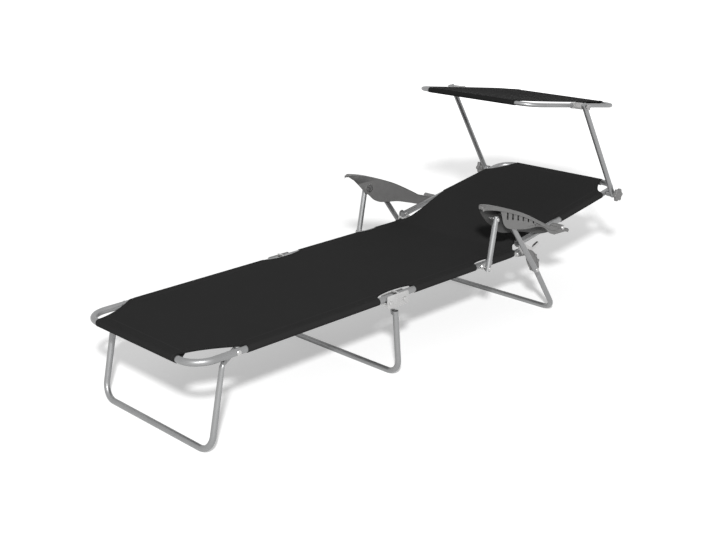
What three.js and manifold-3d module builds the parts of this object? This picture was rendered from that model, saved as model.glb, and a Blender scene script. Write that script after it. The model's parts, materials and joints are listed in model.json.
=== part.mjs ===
// Sun lounger with a canopy: a folding tube frame, a sling of cloth, two armrests and a tilting sun shade.
// Millimetres, +Z up, the floor at z = 0. The head end lies toward +X, and both sides of y = 0 are the same.
// Places are first worked out from the foot bar (x = 0); the exported group then moves the middle to x = 0.
import * as THREE from "three";
import { mergeVertices } from "three/addons/utils/BufferGeometryUtils.js";
import Module from "manifold-3d";

const wasm = await Module();
wasm.setup();

// Sides of the lounger, seen by somebody sitting in it
const SIDES = [
  { name: "left", sign: -1 },
  { name: "right", sign: 1 },
];

// Tubes
const RAIL_RADIUS = 10;
const STRUT_RADIUS = 9;
const CANOPY_RADIUS = 7;
const TUBE_FACETS = 12;
const BEND_STEP = Math.PI / 9;
const ROUND_FACETS = 14;

// Clearances, and the overrun of every cut
const TOUCH_GAP = 0.3;
const PIN_GAP = 0.3;
const SLEEVE_GAP = 0.3;
const CUT_PAST = 1;

// Cloth
const CLOTH_THICK = 1.2;
const CLOTH_EDGE_STEP = 24;

// Bed frame: rails along x at half width RAIL_Y and height RAIL_Z
const RAIL_Y = 258;
const RAIL_Z = 269;
const RAIL_IN = RAIL_Y - RAIL_RADIUS;
const RAIL_OUT = RAIL_Y + RAIL_RADIUS;
const FRAME_CORNER_BEND = 65;
const FOOT_SECTION_LENGTH = 700;
const SEAT_SECTION_LENGTH = 554.5;

// Pins and rivets
const PIN_RADIUS = 4;
const HEAD_RADIUS = 7.5;
const HEAD_THICK = 3;
const LOW_HEAD_THICK = 2.2;
const PIN_FACETS = 10;

// Folding bracket in the middle of the bed: each rail turns on its own pivot below its tube
const PIVOT_SPACING = 59;
const PIVOT_DROP = 14;
const FOOT_PIVOT = { x: FOOT_SECTION_LENGTH, z: RAIL_Z - PIVOT_DROP };
const SEAT_PIVOT = { x: FOOT_PIVOT.x + PIVOT_SPACING, z: RAIL_Z - PIVOT_DROP };
const BRACKET_MIDDLE_X = FOOT_PIVOT.x + PIVOT_SPACING / 2;
const BRACKET_ROUND = 16;
const BRACKET_CORNER = 8;
const BRACKET_METAL = 2.8;
const BRACKET_SIDE_GAP = 0.5;
const BRACKET_OUTER_FROM = RAIL_OUT + BRACKET_SIDE_GAP;
const BRACKET_OUTER_TO = BRACKET_OUTER_FROM + BRACKET_METAL;
const BRACKET_INNER_TO = RAIL_IN - BRACKET_SIDE_GAP;
const BRACKET_INNER_FROM = BRACKET_INNER_TO - BRACKET_METAL;
const BRACKET_WEB_Z = RAIL_Z + RAIL_RADIUS + TOUCH_GAP;
const BRACKET_TOP_Z = BRACKET_WEB_Z + BRACKET_METAL;
const STOP_LENGTH = 6;
const LUG_THICK = 14;
const LUG_RADIUS = 8.5;

// A rail end may not cross the middle of the bracket while it turns, nor may cloth on it touch the web.
const RAIL_TOP_OVER_PIVOT = PIVOT_DROP + RAIL_RADIUS;
const CLOTH_TOP_OVER_PIVOT = RAIL_TOP_OVER_PIVOT + SLEEVE_GAP + CLOTH_THICK;
const RAIL_END_SWING = PIVOT_SPACING / 2 - TOUCH_GAP;
const RAIL_END_REACH = Math.sqrt(RAIL_END_SWING ** 2 - RAIL_TOP_OVER_PIVOT ** 2);
const BRACKET_WEB_HALF = PIVOT_SPACING / 2 - CLOTH_TOP_OVER_PIVOT - TOUCH_GAP;
const FOOT_RAIL_END_X = FOOT_PIVOT.x + RAIL_END_REACH;
const SEAT_RAIL_START_X = SEAT_PIVOT.x - RAIL_END_REACH;

// Legs: bent tubes whose floor bars lie on a flat facet
const LEG_Y = 253;
const LEG_IN = LEG_Y - STRUT_RADIUS;
const LEG_OUT = LEG_Y + STRUT_RADIUS;
const LEG_BEND = 48;
const FLOOR_FACET_HEIGHT = STRUT_RADIUS * Math.cos(Math.PI / TUBE_FACETS);
const TAB_METAL = 4.3;

// Middle leg, hung on the inner plate of the bracket
const MID_PIVOT_AHEAD = 6;
const MID_PIVOT_DROP = 39;
const MID_PIVOT = { x: BRACKET_MIDDLE_X + MID_PIVOT_AHEAD, z: RAIL_Z - MID_PIVOT_DROP };
const MID_LOBE_RADIUS = 9;
const MID_TUBE_DROP = 12;
const MID_LEAN = 15.5;
const MID_FLOOR_X = MID_PIVOT.x + MID_LEAN;
const MID_TAB_OUT = BRACKET_INNER_FROM - TOUCH_GAP;
const MID_TAB_IN = MID_TAB_OUT - TAB_METAL;
const MID_TAB_RADIUS = 8.5;
const MID_NECK_DROP = 19;
const MID_NECK_RADIUS = 6;
const MID_NECK_SINK = 6;

// Foot leg, with a kinked and flattened top beside the foot rail
const FOOT_LEG_PIVOT = { x: 137, z: RAIL_Z };
const FOOT_FLOOR_X = 38.5;
const FOOT_KINK_BACK = 45.5;
const FOOT_KINK_DROP = 27;
const FOOT_LEG_KINK = { x: FOOT_LEG_PIVOT.x - FOOT_KINK_BACK, z: RAIL_Z - FOOT_KINK_DROP };
const FOOT_END_BACK = 31;
const FOOT_END_DROP = 21;
const FOOT_LEG_END = { x: FOOT_LEG_PIVOT.x - FOOT_END_BACK, z: RAIL_Z - FOOT_END_DROP };
const FOOT_TAB_BACK = 36;
const FOOT_TAB_DROP = 22.5;
const FOOT_TAB_START = { x: FOOT_LEG_PIVOT.x - FOOT_TAB_BACK, z: RAIL_Z - FOOT_TAB_DROP };
const FOOT_LEG_KINK_BEND = 14;
const FOOT_TAB_OUT = RAIL_IN - BRACKET_SIDE_GAP;
const FOOT_TAB_IN = FOOT_TAB_OUT - TAB_METAL;
const FOOT_TAB_RADIUS = 9.3;

// Rear hinge: a flat plate on the end of the seat rail, outside the tubes
const BACK_PIVOT_RISE = 29.7;
const BACK_PIVOT = { x: SEAT_PIVOT.x + SEAT_SECTION_LENGTH, z: RAIL_Z + BACK_PIVOT_RISE };
const SEAT_RAIL_PAST_PIVOT = 4.5;
const SEAT_RAIL_END_X = BACK_PIVOT.x + SEAT_RAIL_PAST_PIVOT;
const REAR_LEG_BEHIND = 51.5;
const REAR_LEG_DROP = 5;
const REAR_LEG_PIVOT = { x: BACK_PIVOT.x + REAR_LEG_BEHIND, z: RAIL_Z - REAR_LEG_DROP };
const PLATE_METAL = 2.8;
const PLATE_IN = RAIL_OUT + BRACKET_SIDE_GAP;
const PLATE_OUT = PLATE_IN + PLATE_METAL;
const PLATE_ROUND = 12;
const PLATE_START_ROUND = 9.5;
const PLATE_START_BACK = 30;
const PLATE_START = { x: SEAT_RAIL_END_X - PLATE_START_BACK, z: RAIL_Z };
const PLATE_RIVET_BACK = 22;
const PLATE_RIVET = { x: SEAT_RAIL_END_X - PLATE_RIVET_BACK, z: RAIL_Z };
const PLATE_RAIL_END = { x: SEAT_RAIL_END_X - PLATE_START_ROUND, z: RAIL_Z };
const PLATE_ARM_REACH = 40;
const PLATE_ARM_RISE = 21;
const PLATE_ARM_END = {
  x: REAR_LEG_PIVOT.x + PLATE_ARM_REACH,
  z: REAR_LEG_PIVOT.z + PLATE_ARM_RISE,
};
const PLATE_ARM_ROOT_RADIUS = 8;
const PLATE_ARM_RADIUS = 4;

// Rear leg, with places measured along it from its pivot and aside toward the foot end
const REAR_LEG_LEAN = 169;
const REAR_FLOOR_X = REAR_LEG_PIVOT.x + REAR_LEG_LEAN;
const REAR_TUBE_BEYOND = 7;
const REAR_LEG_WAY = new THREE.Vector2(
  REAR_FLOOR_X - REAR_LEG_PIVOT.x,
  FLOOR_FACET_HEIGHT - REAR_LEG_PIVOT.z,
).normalize();

// Oval plate on the rear leg, which carries the prop
const OVAL_ALONG = 32.2;
const OVAL_ASIDE = 16.6;
const OVAL_HALF_LONG = 50;
const OVAL_HALF_WIDE = 22.5;
const OVAL_GAP = 1;
const OVAL_THICK = 8.3;
const OVAL_IN = PLATE_OUT + OVAL_GAP;
const OVAL_OUT = OVAL_IN + OVAL_THICK;
const OVAL_POINTS = 24;
const OVAL_BUSH_ALONG_SHARES = [-0.144, 0.356];
const OVAL_BUSH_ASIDE = -3;
const OVAL_BUSH_RADIUS = 6;
const OVAL_BUSH_PROUD = 1.5;

// Backrest: a flat frame that rises from the pivot toward the head
const BACK_SLOPE_SHARE = 0.1591;
const BACK_ANGLE = Math.atan(BACK_SLOPE_SHARE);
const BACK_LOWER_END = -9.6;
const BACK_LENGTH = 571.6;
const BACK_CORNER_BEND = 60;

// Places of the backrest: along the rail from the pivot, and up from the rail's line
function backPoint(along, y, up = 0) {
  const cos = Math.cos(BACK_ANGLE);
  const sin = Math.sin(BACK_ANGLE);
  return at(BACK_PIVOT.x + along * cos - up * sin, y, BACK_PIVOT.z + along * sin + up * cos);
}

// Armrest: its outlines are shares of its length, from the front, and of its height, from the base
const ARM_PIVOT_ALONG = 172.6;
const ARM_PIVOT = backPoint(ARM_PIVOT_ALONG, 0);
const ARM_LENGTH = 453;
const ARM_HEIGHT = 170;
const ARM_PAST_PIVOT = 35;
const ARM_BELOW_PIVOT = 15.8;
const ARM_SIDE_GAP = 3.6;
const ARM_IN = RAIL_OUT + ARM_SIDE_GAP;
const ARM_WIDTH = 39.4;
const ARM_OUT = ARM_IN + ARM_WIDTH;
const ARM_WALL = 3;
const ARM_FLANGE = 3.5;
const ARM_LIP = 12;
const ARM_BOSS_IN = RAIL_OUT + TOUCH_GAP;
const ARM_BOSS_RADIUS = 12;
const ARM_TOP_STEPS = 2;
const ARM_TOP_SHARES = [
  [0, 0.976],
  [0.013, 1],
  [0.097, 0.966],
  [0.219, 0.874],
  [0.351, 0.75],
  [0.488, 0.599],
  [0.671, 0.349],
  [0.759, 0.224],
  [0.883, 0.118],
  [0.993, 0.035],
  [1, 0.012],
];
const ARM_LEAF_SHARES = [
  [0.993, 0],
  [0.969, -0.006],
  [0.764, 0.018],
  [0.645, 0.106],
  [0.505, 0.212],
  [0.393, 0.259],
  [0.302, 0.306],
  [0.236, 0.394],
  [0.19, 0.505],
  [0.148, 0.585],
  [0.095, 0.73],
  [0.045, 0.875],
];
const ARM_OUTER_SHARES = [
  [0.826, 0.006],
  [0.764, 0.071],
  [0.704, 0.206],
  [0.638, 0.276],
  [0.464, 0.324],
  [0.265, 0.459],
  [0.23, 0.541],
  [0.199, 0.765],
];
const ARM_REAR_FLOOR_SHARES = [
  [0.817, 0.009],
  [0.969, -0.006],
  [0.993, 0],
];
const TOOTH_FIRST_SHARE = 0.234;
const TOOTH_COUNT = 7;
const TOOTH_PITCH = 27;
const TOOTH_THICK = 3;
const TOOTH_DEPTH = 25;
const TOOTH_LEAN = 9;
const WINDOW_DEPTH = 23;
const WINDOW_TOP = 7;
const WINDOW_SIDE = 4;

// Prop: from the oval plate up into the channel of the armrest
const PROP_ALONG = 53.3;
const PROP_ASIDE = 31.8;
const PROP_GAP = 0.9;
const PROP_Y = OVAL_OUT + PROP_GAP + STRUT_RADIUS;
const PROP_IN = PROP_Y - STRUT_RADIUS;
const PROP_OUT = PROP_Y + STRUT_RADIUS;
const PROP_BEYOND = 8;
const PROP_TOP_SHARE = 0.3393;
const PROP_TOP_DEPTH = 39.5;
const PROP_STOP_RADIUS = 3.5;
const PROP_STOP_GAP = 2;

// Front strut from the seat rail to the armrest
const STRUT_Y = 291;
const STRUT_IN = STRUT_Y - STRUT_RADIUS;
const STRUT_OUT = STRUT_Y + STRUT_RADIUS;
const STRUT_TOP_SHARES = [0.19, 0.653];
const STRUT_LEAN = 33;
const STRUT_FOOT_DROP = 3;
const STRUT_BEYOND = 9;
const STRUT_BRACKET_RADIUS = 10;
const STRUT_BRACKET_STEM_RADIUS = 8;
const STRUT_BRACKET_FLANGE = 4;
const STRUT_BRACKET_ROOM = 1.5;
const SLOT_HALF_LONG = 9.4;
const SLOT_HALF_HIGH = 5.6;
const WASHER_RADIUS = 14;
const WASHER_THICK = 2.5;

// Canopy: two posts and a closed loop of tube, with places along its slope from the tilt pivot
const POST_BEFORE_END = 75.4;
const POST_ALONG = BACK_LENGTH - POST_BEFORE_END;
const POST_LENGTH = 389.4;
const POST_LEAN = THREE.MathUtils.degToRad(30.48);
const POST_GAP = 12;
const POST_COLLAR_RADIUS = 11;
const POST_Y = RAIL_OUT + POST_GAP + STRUT_RADIUS;
const POST_IN = POST_Y - STRUT_RADIUS;
const POST_OUT = POST_Y + STRUT_RADIUS;
const POST_BEYOND = 10;
const POST_STUD_SINK = 8;
const CANOPY_SLOPE_SHARE = -0.1396;
const CANOPY_ANGLE = Math.atan(CANOPY_SLOPE_SHARE);
const CANOPY_FRONT = -242.6;
const CANOPY_REAR = 256.9;
const CANOPY_Y = 250;
const CANOPY_CORNER_BEND = 60;
const CLIP_RADIUS = 10.5;
const CLIP_HALF_LONG = 18;
const CLIP_GAP = 0.4;
const CLIP_OUT = POST_IN - CLIP_GAP;
const CLIP_BORE_DEPTH = 8;
const CLIP_STUD_SINK = 7;
const TILT_STUD_IN = CLIP_OUT - CLIP_STUD_SINK;

// Star knobs
const STUD_RADIUS = 3.5;
const KNOB_RADIUS = 21;
const KNOB_LOBE = 2.5;
const KNOB_LOBES = 6;
const KNOB_THICK = 12;
const KNOB_POINTS = 24;
const KNOB_HUB_RADIUS = 12;
const KNOB_HUB_THICK = 7;
const KNOB_CAP_RADIUS = 11;
const KNOB_CAP_THICK = 2.5;
const TILT_KNOB_SHARE = 0.46;

// Scallops and ends of the cloth
const CORNER_CURVE = 1.6;
const HEAD_CORNER_CURVE = 0.6;
const FOOT_BAR_CLOTH_Y = 185;
const FOOT_CORNER_CLOTH_X = 150;
const FOOT_SLEEVE_START_X = 167;
const MID_SCALLOP_BACK = 72;
const MID_SCALLOP_AHEAD = 88.5;
const MID_SCALLOP_DEPTH = 25;
const CLOTH_PARTING = 3;
const SEAT_CLOTH_END_BACK = 7.5;
const SEAT_CLOTH_RISE_LENGTH = 106;
const SEAT_CLOTH_RISE = 12;
const RISE_KNEE_SHARES = [0.472, 0.35];
const REAR_SCALLOP_LENGTH = 51;
const REAR_SCALLOP_DEPTH = 26;
const BACK_CLOTH_START = -5.3;
const BACK_CLOTH_START_UP = -4.9;
const BACK_CLOTH_FLAT_FROM = 100;
const BACK_SLEEVE_FROM = 224;
const BACK_SLEEVE_TO = 468;
const HEAD_BAR_CLOTH_Y = 192;
const CANOPY_CLOTH_BAR_Y = 186;
const CANOPY_CLOTH_MIDDLE_Y = 216;
const CANOPY_CLOTH_CURVE = 0.5;

// Materials
const alloy = { color: 0xb4b6b8, metalness: 0.85, roughness: 0.35 };
const steel = { color: 0x9a9c9e, metalness: 0.9, roughness: 0.3 };
const plastic = { color: 0x55575a, metalness: 0, roughness: 0.6 };
const cloth = { color: 0x2c2d30, metalness: 0, roughness: 0.9 };

const lounger = new THREE.Group();
lounger.name = "sun_lounger";

function at(x, y, z) {
  return new THREE.Vector3(x, y, z);
}

// Turns a three.js geometry into a solid that can be joined and cut.
function solidOf(geometry) {
  const plain = new THREE.BufferGeometry();
  const source = geometry.index ? geometry.toNonIndexed() : geometry;
  plain.setAttribute("position", source.getAttribute("position"));
  const merged = mergeVertices(plain, 1e-4);
  const mesh = new wasm.Mesh({
    numProp: 3,
    vertProperties: new Float32Array(merged.attributes.position.array),
    triVerts: new Uint32Array(merged.index.array),
  });
  return new wasm.Manifold(mesh);
}

// Adds one named mesh, made from a solid, to the lounger.
function addNode(name, solid, look) {
  const mesh = solid.getMesh();
  const positions = new Float32Array(mesh.numVert * 3);
  for (let vertex = 0; vertex < mesh.numVert; vertex++) {
    const start = vertex * mesh.numProp;
    positions.set(mesh.vertProperties.subarray(start, start + 3), vertex * 3);
  }
  const indexed = new THREE.BufferGeometry();
  indexed.setAttribute("position", new THREE.BufferAttribute(positions, 3));
  indexed.setIndex(new THREE.BufferAttribute(new Uint32Array(mesh.triVerts), 1));
  const geometry = indexed.toNonIndexed();
  geometry.computeVertexNormals();
  const node = new THREE.Mesh(geometry, new THREE.MeshStandardMaterial(look));
  node.name = name;
  lounger.add(node);
}

// Joins a list of solids into one.
function joined(solids) {
  return wasm.Manifold.union(solids);
}

// A plate whose outline lies in the side view; inner and outer are distances from the middle plane.
function sidePlate(outline, inner, outer, sign) {
  const shape = new THREE.Shape(outline.map(([x, z]) => new THREE.Vector2(x, z)));
  const geometry = new THREE.ExtrudeGeometry(shape, {
    depth: outer - inner,
    bevelEnabled: false,
  });
  geometry.rotateX(Math.PI / 2);
  geometry.translate(0, sign > 0 ? outer : -inner, 0);
  return solidOf(geometry);
}

// A slab whose outline lies in the plan view.
function planSlab(outline, low, high) {
  const shape = new THREE.Shape(outline.map(([x, y]) => new THREE.Vector2(x, y)));
  const geometry = new THREE.ExtrudeGeometry(shape, {
    depth: high - low,
    bevelEnabled: false,
  });
  geometry.translate(0, 0, low);
  return solidOf(geometry);
}

// A round pin across the lounger.
function crossPin(centre, radius, inner, outer, sign, facets = PIN_FACETS) {
  const geometry = new THREE.CylinderGeometry(radius, radius, outer - inner, facets);
  geometry.translate(centre.x, (sign * (inner + outer)) / 2, centre.z);
  return solidOf(geometry);
}

// The points of a round arc in the side view.
function arcPoints(centre, radius, from, to, steps) {
  const points = [];
  for (let step = 0; step <= steps; step++) {
    const angle = from + ((to - from) * step) / steps;
    points.push([centre.x + radius * Math.cos(angle), centre.z + radius * Math.sin(angle)]);
  }
  return points;
}

// The outline of two circles and the lines that touch both: a link between two pivots.
function linkOutline(start, startRadius, end, endRadius, steps = 4) {
  const along = Math.atan2(end.z - start.z, end.x - start.x);
  const distance = Math.hypot(end.x - start.x, end.z - start.z);
  const spread = Math.acos((startRadius - endRadius) / distance);
  const around = 2 * Math.PI;
  const farEnd = arcPoints(end, endRadius, along - spread, along + spread, steps);
  const nearEnd = arcPoints(start, startRadius, along + spread, along - spread + around, steps);
  return [...farEnd, ...nearEnd];
}

function linkPlate(start, startRadius, end, endRadius, inner, outer, sign) {
  return sidePlate(linkOutline(start, startRadius, end, endRadius), inner, outer, sign);
}

// A path of straight runs and round bends; each station holds a point and its direction.
class BentPath extends THREE.Curve {
  constructor(stations) {
    super();
    this.stations = stations;
  }
  stationAt(fraction) {
    return this.stations[Math.round(fraction * (this.stations.length - 1))];
  }
  getPointAt(fraction, target = new THREE.Vector3()) {
    return target.copy(this.stationAt(fraction).point);
  }
  getTangentAt(fraction, target = new THREE.Vector3()) {
    return target.copy(this.stationAt(fraction).direction);
  }
  getSpacedPoints() {
    return this.stations.map((station) => station.point);
  }
}

// The stations of one bend between two straight runs.
function bendStations(before, corner, after, radius) {
  const into = corner.clone().sub(before).normalize();
  const out = after.clone().sub(corner).normalize();
  const turn = into.angleTo(out);
  const axis = into.clone().cross(out).normalize();
  const setback = radius * Math.tan(turn / 2);
  const start = corner.clone().addScaledVector(into, -setback);
  const toCentre = axis.clone().cross(into);
  const centre = start.clone().addScaledVector(toCentre, radius);
  const steps = Math.max(2, Math.ceil(turn / BEND_STEP));
  const stations = [];
  for (let step = 0; step <= steps; step++) {
    const angle = (turn * step) / steps;
    const spoke = start.clone().sub(centre).applyAxisAngle(axis, angle);
    stations.push({
      point: centre.clone().add(spoke),
      direction: into.clone().applyAxisAngle(axis, angle),
    });
  }
  return stations;
}

// An open path through corner points; each inner corner has its bend radius.
function openPath(corners, radii) {
  const last = corners.length - 1;
  const firstWay = corners[1].clone().sub(corners[0]).normalize();
  const lastWay = corners[last].clone().sub(corners[last - 1]).normalize();
  const stations = [{ point: corners[0], direction: firstWay }];
  for (let index = 1; index < last; index++) {
    const [before, corner, after] = corners.slice(index - 1, index + 2);
    stations.push(...bendStations(before, corner, after, radii[index - 1]));
  }
  stations.push({ point: corners[last], direction: lastWay });
  return new BentPath(stations);
}

// The turn of a tube's facets that brings one of them to face the floor at its middle bar.
function facetTurn(path) {
  const steps = path.stations.length - 1;
  const frames = path.computeFrenetFrames(steps, false);
  const middle = Math.floor(steps / 2);
  const down = new THREE.Vector3(0, 0, -1);
  const angle = Math.atan2(down.dot(frames.binormals[middle]), down.dot(frames.normals[middle]));
  return angle + Math.PI / TUBE_FACETS;
}

// A round tube, solid inside, along a path.
function tubeAlong(path, radius, turn = 0) {
  const points = [];
  for (let facet = 0; facet < TUBE_FACETS; facet++) {
    const angle = turn + (facet * 2 * Math.PI) / TUBE_FACETS;
    points.push(new THREE.Vector2(radius * Math.cos(angle), radius * Math.sin(angle)));
  }
  const geometry = new THREE.ExtrudeGeometry(new THREE.Shape(points), {
    steps: path.stations.length - 1,
    extrudePath: path,
  });
  return solidOf(geometry);
}

function straightTube(start, end, radius) {
  return tubeAlong(openPath([start, end], []), radius);
}

// The straight tube between two points of the side view, run on past both by the same length.
function strutTube(start, end, beyond, y) {
  const way = new THREE.Vector2(end.x - start.x, end.z - start.z).normalize();
  const from = at(start.x - way.x * beyond, y, start.z - way.y * beyond);
  const to = at(end.x + way.x * beyond, y, end.z + way.y * beyond);
  return straightTube(from, to, STRUT_RADIUS);
}

// A bent leg: the same side view on both sides, joined by a bar on the floor.
function legTube(sidePoints, radii) {
  const left = sidePoints.map(({ x, z }) => at(x, -LEG_Y, z));
  const right = sidePoints.map(({ x, z }) => at(x, LEG_Y, z)).reverse();
  const path = openPath([...left, ...right], radii);
  return tubeAlong(path, STRUT_RADIUS, facetTurn(path));
}

// A pin holds its parts between two heads; a hole leaves a little room around the shaft.
function rivet(centre, inner, outer, sign) {
  return joined([
    crossPin(centre, PIN_RADIUS, inner - HEAD_THICK, outer + HEAD_THICK, sign),
    crossPin(centre, HEAD_RADIUS, inner - HEAD_THICK, inner, sign),
    crossPin(centre, HEAD_RADIUS, outer, outer + HEAD_THICK, sign),
  ]);
}

function hole(centre, inner, outer, sign, radius = PIN_RADIUS) {
  return crossPin(centre, radius + PIN_GAP, inner - CUT_PAST, outer + CUT_PAST, sign);
}

// Cuts the same hole on both sides.
function withHoles(solid, centre, inner, outer, radius = PIN_RADIUS) {
  const holes = SIDES.map((side) => hole(centre, inner, outer, side.sign, radius));
  return solid.subtract(joined(holes));
}

// Bed rails, each with a lug under its tube at the folding bracket
function railLug(pivot, sign) {
  const top = { x: pivot.x, z: RAIL_Z };
  const inner = RAIL_Y - LUG_THICK / 2;
  return linkPlate(pivot, LUG_RADIUS, top, LUG_RADIUS, inner, inner + LUG_THICK, sign);
}

function footFrame() {
  const corners = [
    at(FOOT_RAIL_END_X, -RAIL_Y, RAIL_Z),
    at(0, -RAIL_Y, RAIL_Z),
    at(0, RAIL_Y, RAIL_Z),
    at(FOOT_RAIL_END_X, RAIL_Y, RAIL_Z),
  ];
  const path = openPath(corners, [FRAME_CORNER_BEND, FRAME_CORNER_BEND]);
  const lugs = SIDES.map((side) => railLug(FOOT_PIVOT, side.sign));
  const frame = joined([tubeAlong(path, RAIL_RADIUS), ...lugs]);
  const pierced = withHoles(frame, FOOT_PIVOT, RAIL_IN, RAIL_OUT);
  return withHoles(pierced, FOOT_LEG_PIVOT, RAIL_IN, RAIL_OUT);
}

function seatRail(sign) {
  const start = at(SEAT_RAIL_START_X, sign * RAIL_Y, RAIL_Z);
  const end = at(SEAT_RAIL_END_X, sign * RAIL_Y, RAIL_Z);
  return joined([straightTube(start, end, RAIL_RADIUS), railLug(SEAT_PIVOT, sign)])
    .subtract(hole(SEAT_PIVOT, RAIL_IN, RAIL_OUT, sign))
    .subtract(hole(STRUT_PIVOT, RAIL_IN, RAIL_OUT, sign))
    .subtract(hole(PLATE_RIVET, RAIL_IN, RAIL_OUT, sign));
}

// Folding bracket: two plates beside the rails, a web over them and a stop under each rail
function bracketOutline() {
  const left = FOOT_PIVOT.x - BRACKET_ROUND + BRACKET_CORNER;
  const right = SEAT_PIVOT.x + BRACKET_ROUND - BRACKET_CORNER;
  const top = BRACKET_WEB_Z - BRACKET_CORNER;
  return [
    ...arcPoints(FOOT_PIVOT, BRACKET_ROUND, Math.PI, 1.5 * Math.PI, 4),
    ...arcPoints(SEAT_PIVOT, BRACKET_ROUND, 1.5 * Math.PI, 2 * Math.PI, 4),
    ...arcPoints({ x: right, z: top }, BRACKET_CORNER, 0, Math.PI / 2, 3),
    [BRACKET_MIDDLE_X + BRACKET_WEB_HALF, BRACKET_WEB_Z],
    [BRACKET_MIDDLE_X + BRACKET_WEB_HALF, BRACKET_TOP_Z],
    [BRACKET_MIDDLE_X - BRACKET_WEB_HALF, BRACKET_TOP_Z],
    [BRACKET_MIDDLE_X - BRACKET_WEB_HALF, BRACKET_WEB_Z],
    ...arcPoints({ x: left, z: top }, BRACKET_CORNER, Math.PI / 2, Math.PI, 3),
  ];
}

function rectangle(fromX, toX, fromZ, toZ) {
  return [
    [fromX, fromZ],
    [toX, fromZ],
    [toX, toZ],
    [fromX, toZ],
  ];
}

function midBracket(sign) {
  const webFrom = BRACKET_MIDDLE_X - BRACKET_WEB_HALF;
  const webTo = BRACKET_MIDDLE_X + BRACKET_WEB_HALF;
  const web = rectangle(webFrom, webTo, BRACKET_WEB_Z, BRACKET_TOP_Z);
  const stopTop = RAIL_Z - RAIL_RADIUS - TOUCH_GAP;
  const stopBottom = stopTop - BRACKET_METAL;
  const footEnd = FOOT_PIVOT.x - BRACKET_ROUND;
  const seatEnd = SEAT_PIVOT.x + BRACKET_ROUND;
  const footStop = rectangle(footEnd, footEnd + STOP_LENGTH, stopBottom, stopTop);
  const seatStop = rectangle(seatEnd - STOP_LENGTH, seatEnd, stopBottom, stopTop);
  const lobeTop = { x: MID_PIVOT.x, z: FOOT_PIVOT.z };
  const lobe = linkOutline(MID_PIVOT, MID_LOBE_RADIUS, lobeTop, MID_LOBE_RADIUS);
  const cross = [web, footStop, seatStop];
  return joined([
    sidePlate(bracketOutline(), BRACKET_OUTER_FROM, BRACKET_OUTER_TO, sign),
    sidePlate(bracketOutline(), BRACKET_INNER_FROM, BRACKET_INNER_TO, sign),
    sidePlate(lobe, BRACKET_INNER_FROM, BRACKET_INNER_TO, sign),
    ...cross.map((outline) => sidePlate(outline, BRACKET_INNER_FROM, BRACKET_OUTER_TO, sign)),
  ])
    .subtract(hole(FOOT_PIVOT, BRACKET_INNER_FROM, BRACKET_OUTER_TO, sign))
    .subtract(hole(SEAT_PIVOT, BRACKET_INNER_FROM, BRACKET_OUTER_TO, sign))
    .subtract(hole(MID_PIVOT, BRACKET_INNER_FROM, BRACKET_INNER_TO, sign));
}

// Legs
function footLeg() {
  const floor = { x: FOOT_FLOOR_X, z: FLOOR_FACET_HEIGHT };
  const bends = [FOOT_LEG_KINK_BEND, LEG_BEND, LEG_BEND, FOOT_LEG_KINK_BEND];
  const tabOutline = linkOutline(
    FOOT_TAB_START,
    FOOT_TAB_RADIUS,
    FOOT_LEG_PIVOT,
    FOOT_TAB_RADIUS,
  );
  const tabs = SIDES.map((side) => sidePlate(tabOutline, FOOT_TAB_IN, FOOT_TAB_OUT, side.sign));
  const leg = joined([legTube([FOOT_LEG_END, FOOT_LEG_KINK, floor], bends), ...tabs]);
  return withHoles(leg, FOOT_LEG_PIVOT, FOOT_TAB_IN, FOOT_TAB_OUT);
}

// A place on the middle leg's line, so far below its pivot.
function midLegPlace(drop) {
  const fall = MID_PIVOT.z - FLOOR_FACET_HEIGHT;
  return { x: MID_PIVOT.x + (MID_LEAN * drop) / fall, z: MID_PIVOT.z - drop };
}

function midLeg() {
  const floor = { x: MID_FLOOR_X, z: FLOOR_FACET_HEIGHT };
  const neck = midLegPlace(MID_NECK_DROP);
  const tabOutline = linkOutline(neck, MID_TAB_RADIUS, MID_PIVOT, MID_TAB_RADIUS);
  const neckOut = LEG_IN + MID_NECK_SINK;
  const tabs = SIDES.flatMap((side) => [
    sidePlate(tabOutline, MID_TAB_IN, MID_TAB_OUT, side.sign),
    crossPin(neck, MID_NECK_RADIUS, MID_TAB_IN, neckOut, side.sign),
  ]);
  const tube = legTube([midLegPlace(MID_TUBE_DROP), floor], [LEG_BEND, LEG_BEND]);
  return withHoles(joined([tube, ...tabs]), MID_PIVOT, MID_TAB_IN, MID_TAB_OUT);
}

// A place beside the rear leg: along it from its pivot, and aside toward the foot end.
function rearLegPlace(along, aside = 0) {
  return {
    x: REAR_LEG_PIVOT.x + along * REAR_LEG_WAY.x + aside * REAR_LEG_WAY.y,
    z: REAR_LEG_PIVOT.z + along * REAR_LEG_WAY.y - aside * REAR_LEG_WAY.x,
  };
}

function rearLeg() {
  const floor = { x: REAR_FLOOR_X, z: FLOOR_FACET_HEIGHT };
  const tube = legTube([rearLegPlace(-REAR_TUBE_BEYOND), floor], [LEG_BEND, LEG_BEND]);
  return withHoles(tube, REAR_LEG_PIVOT, LEG_IN, LEG_OUT);
}

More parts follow.
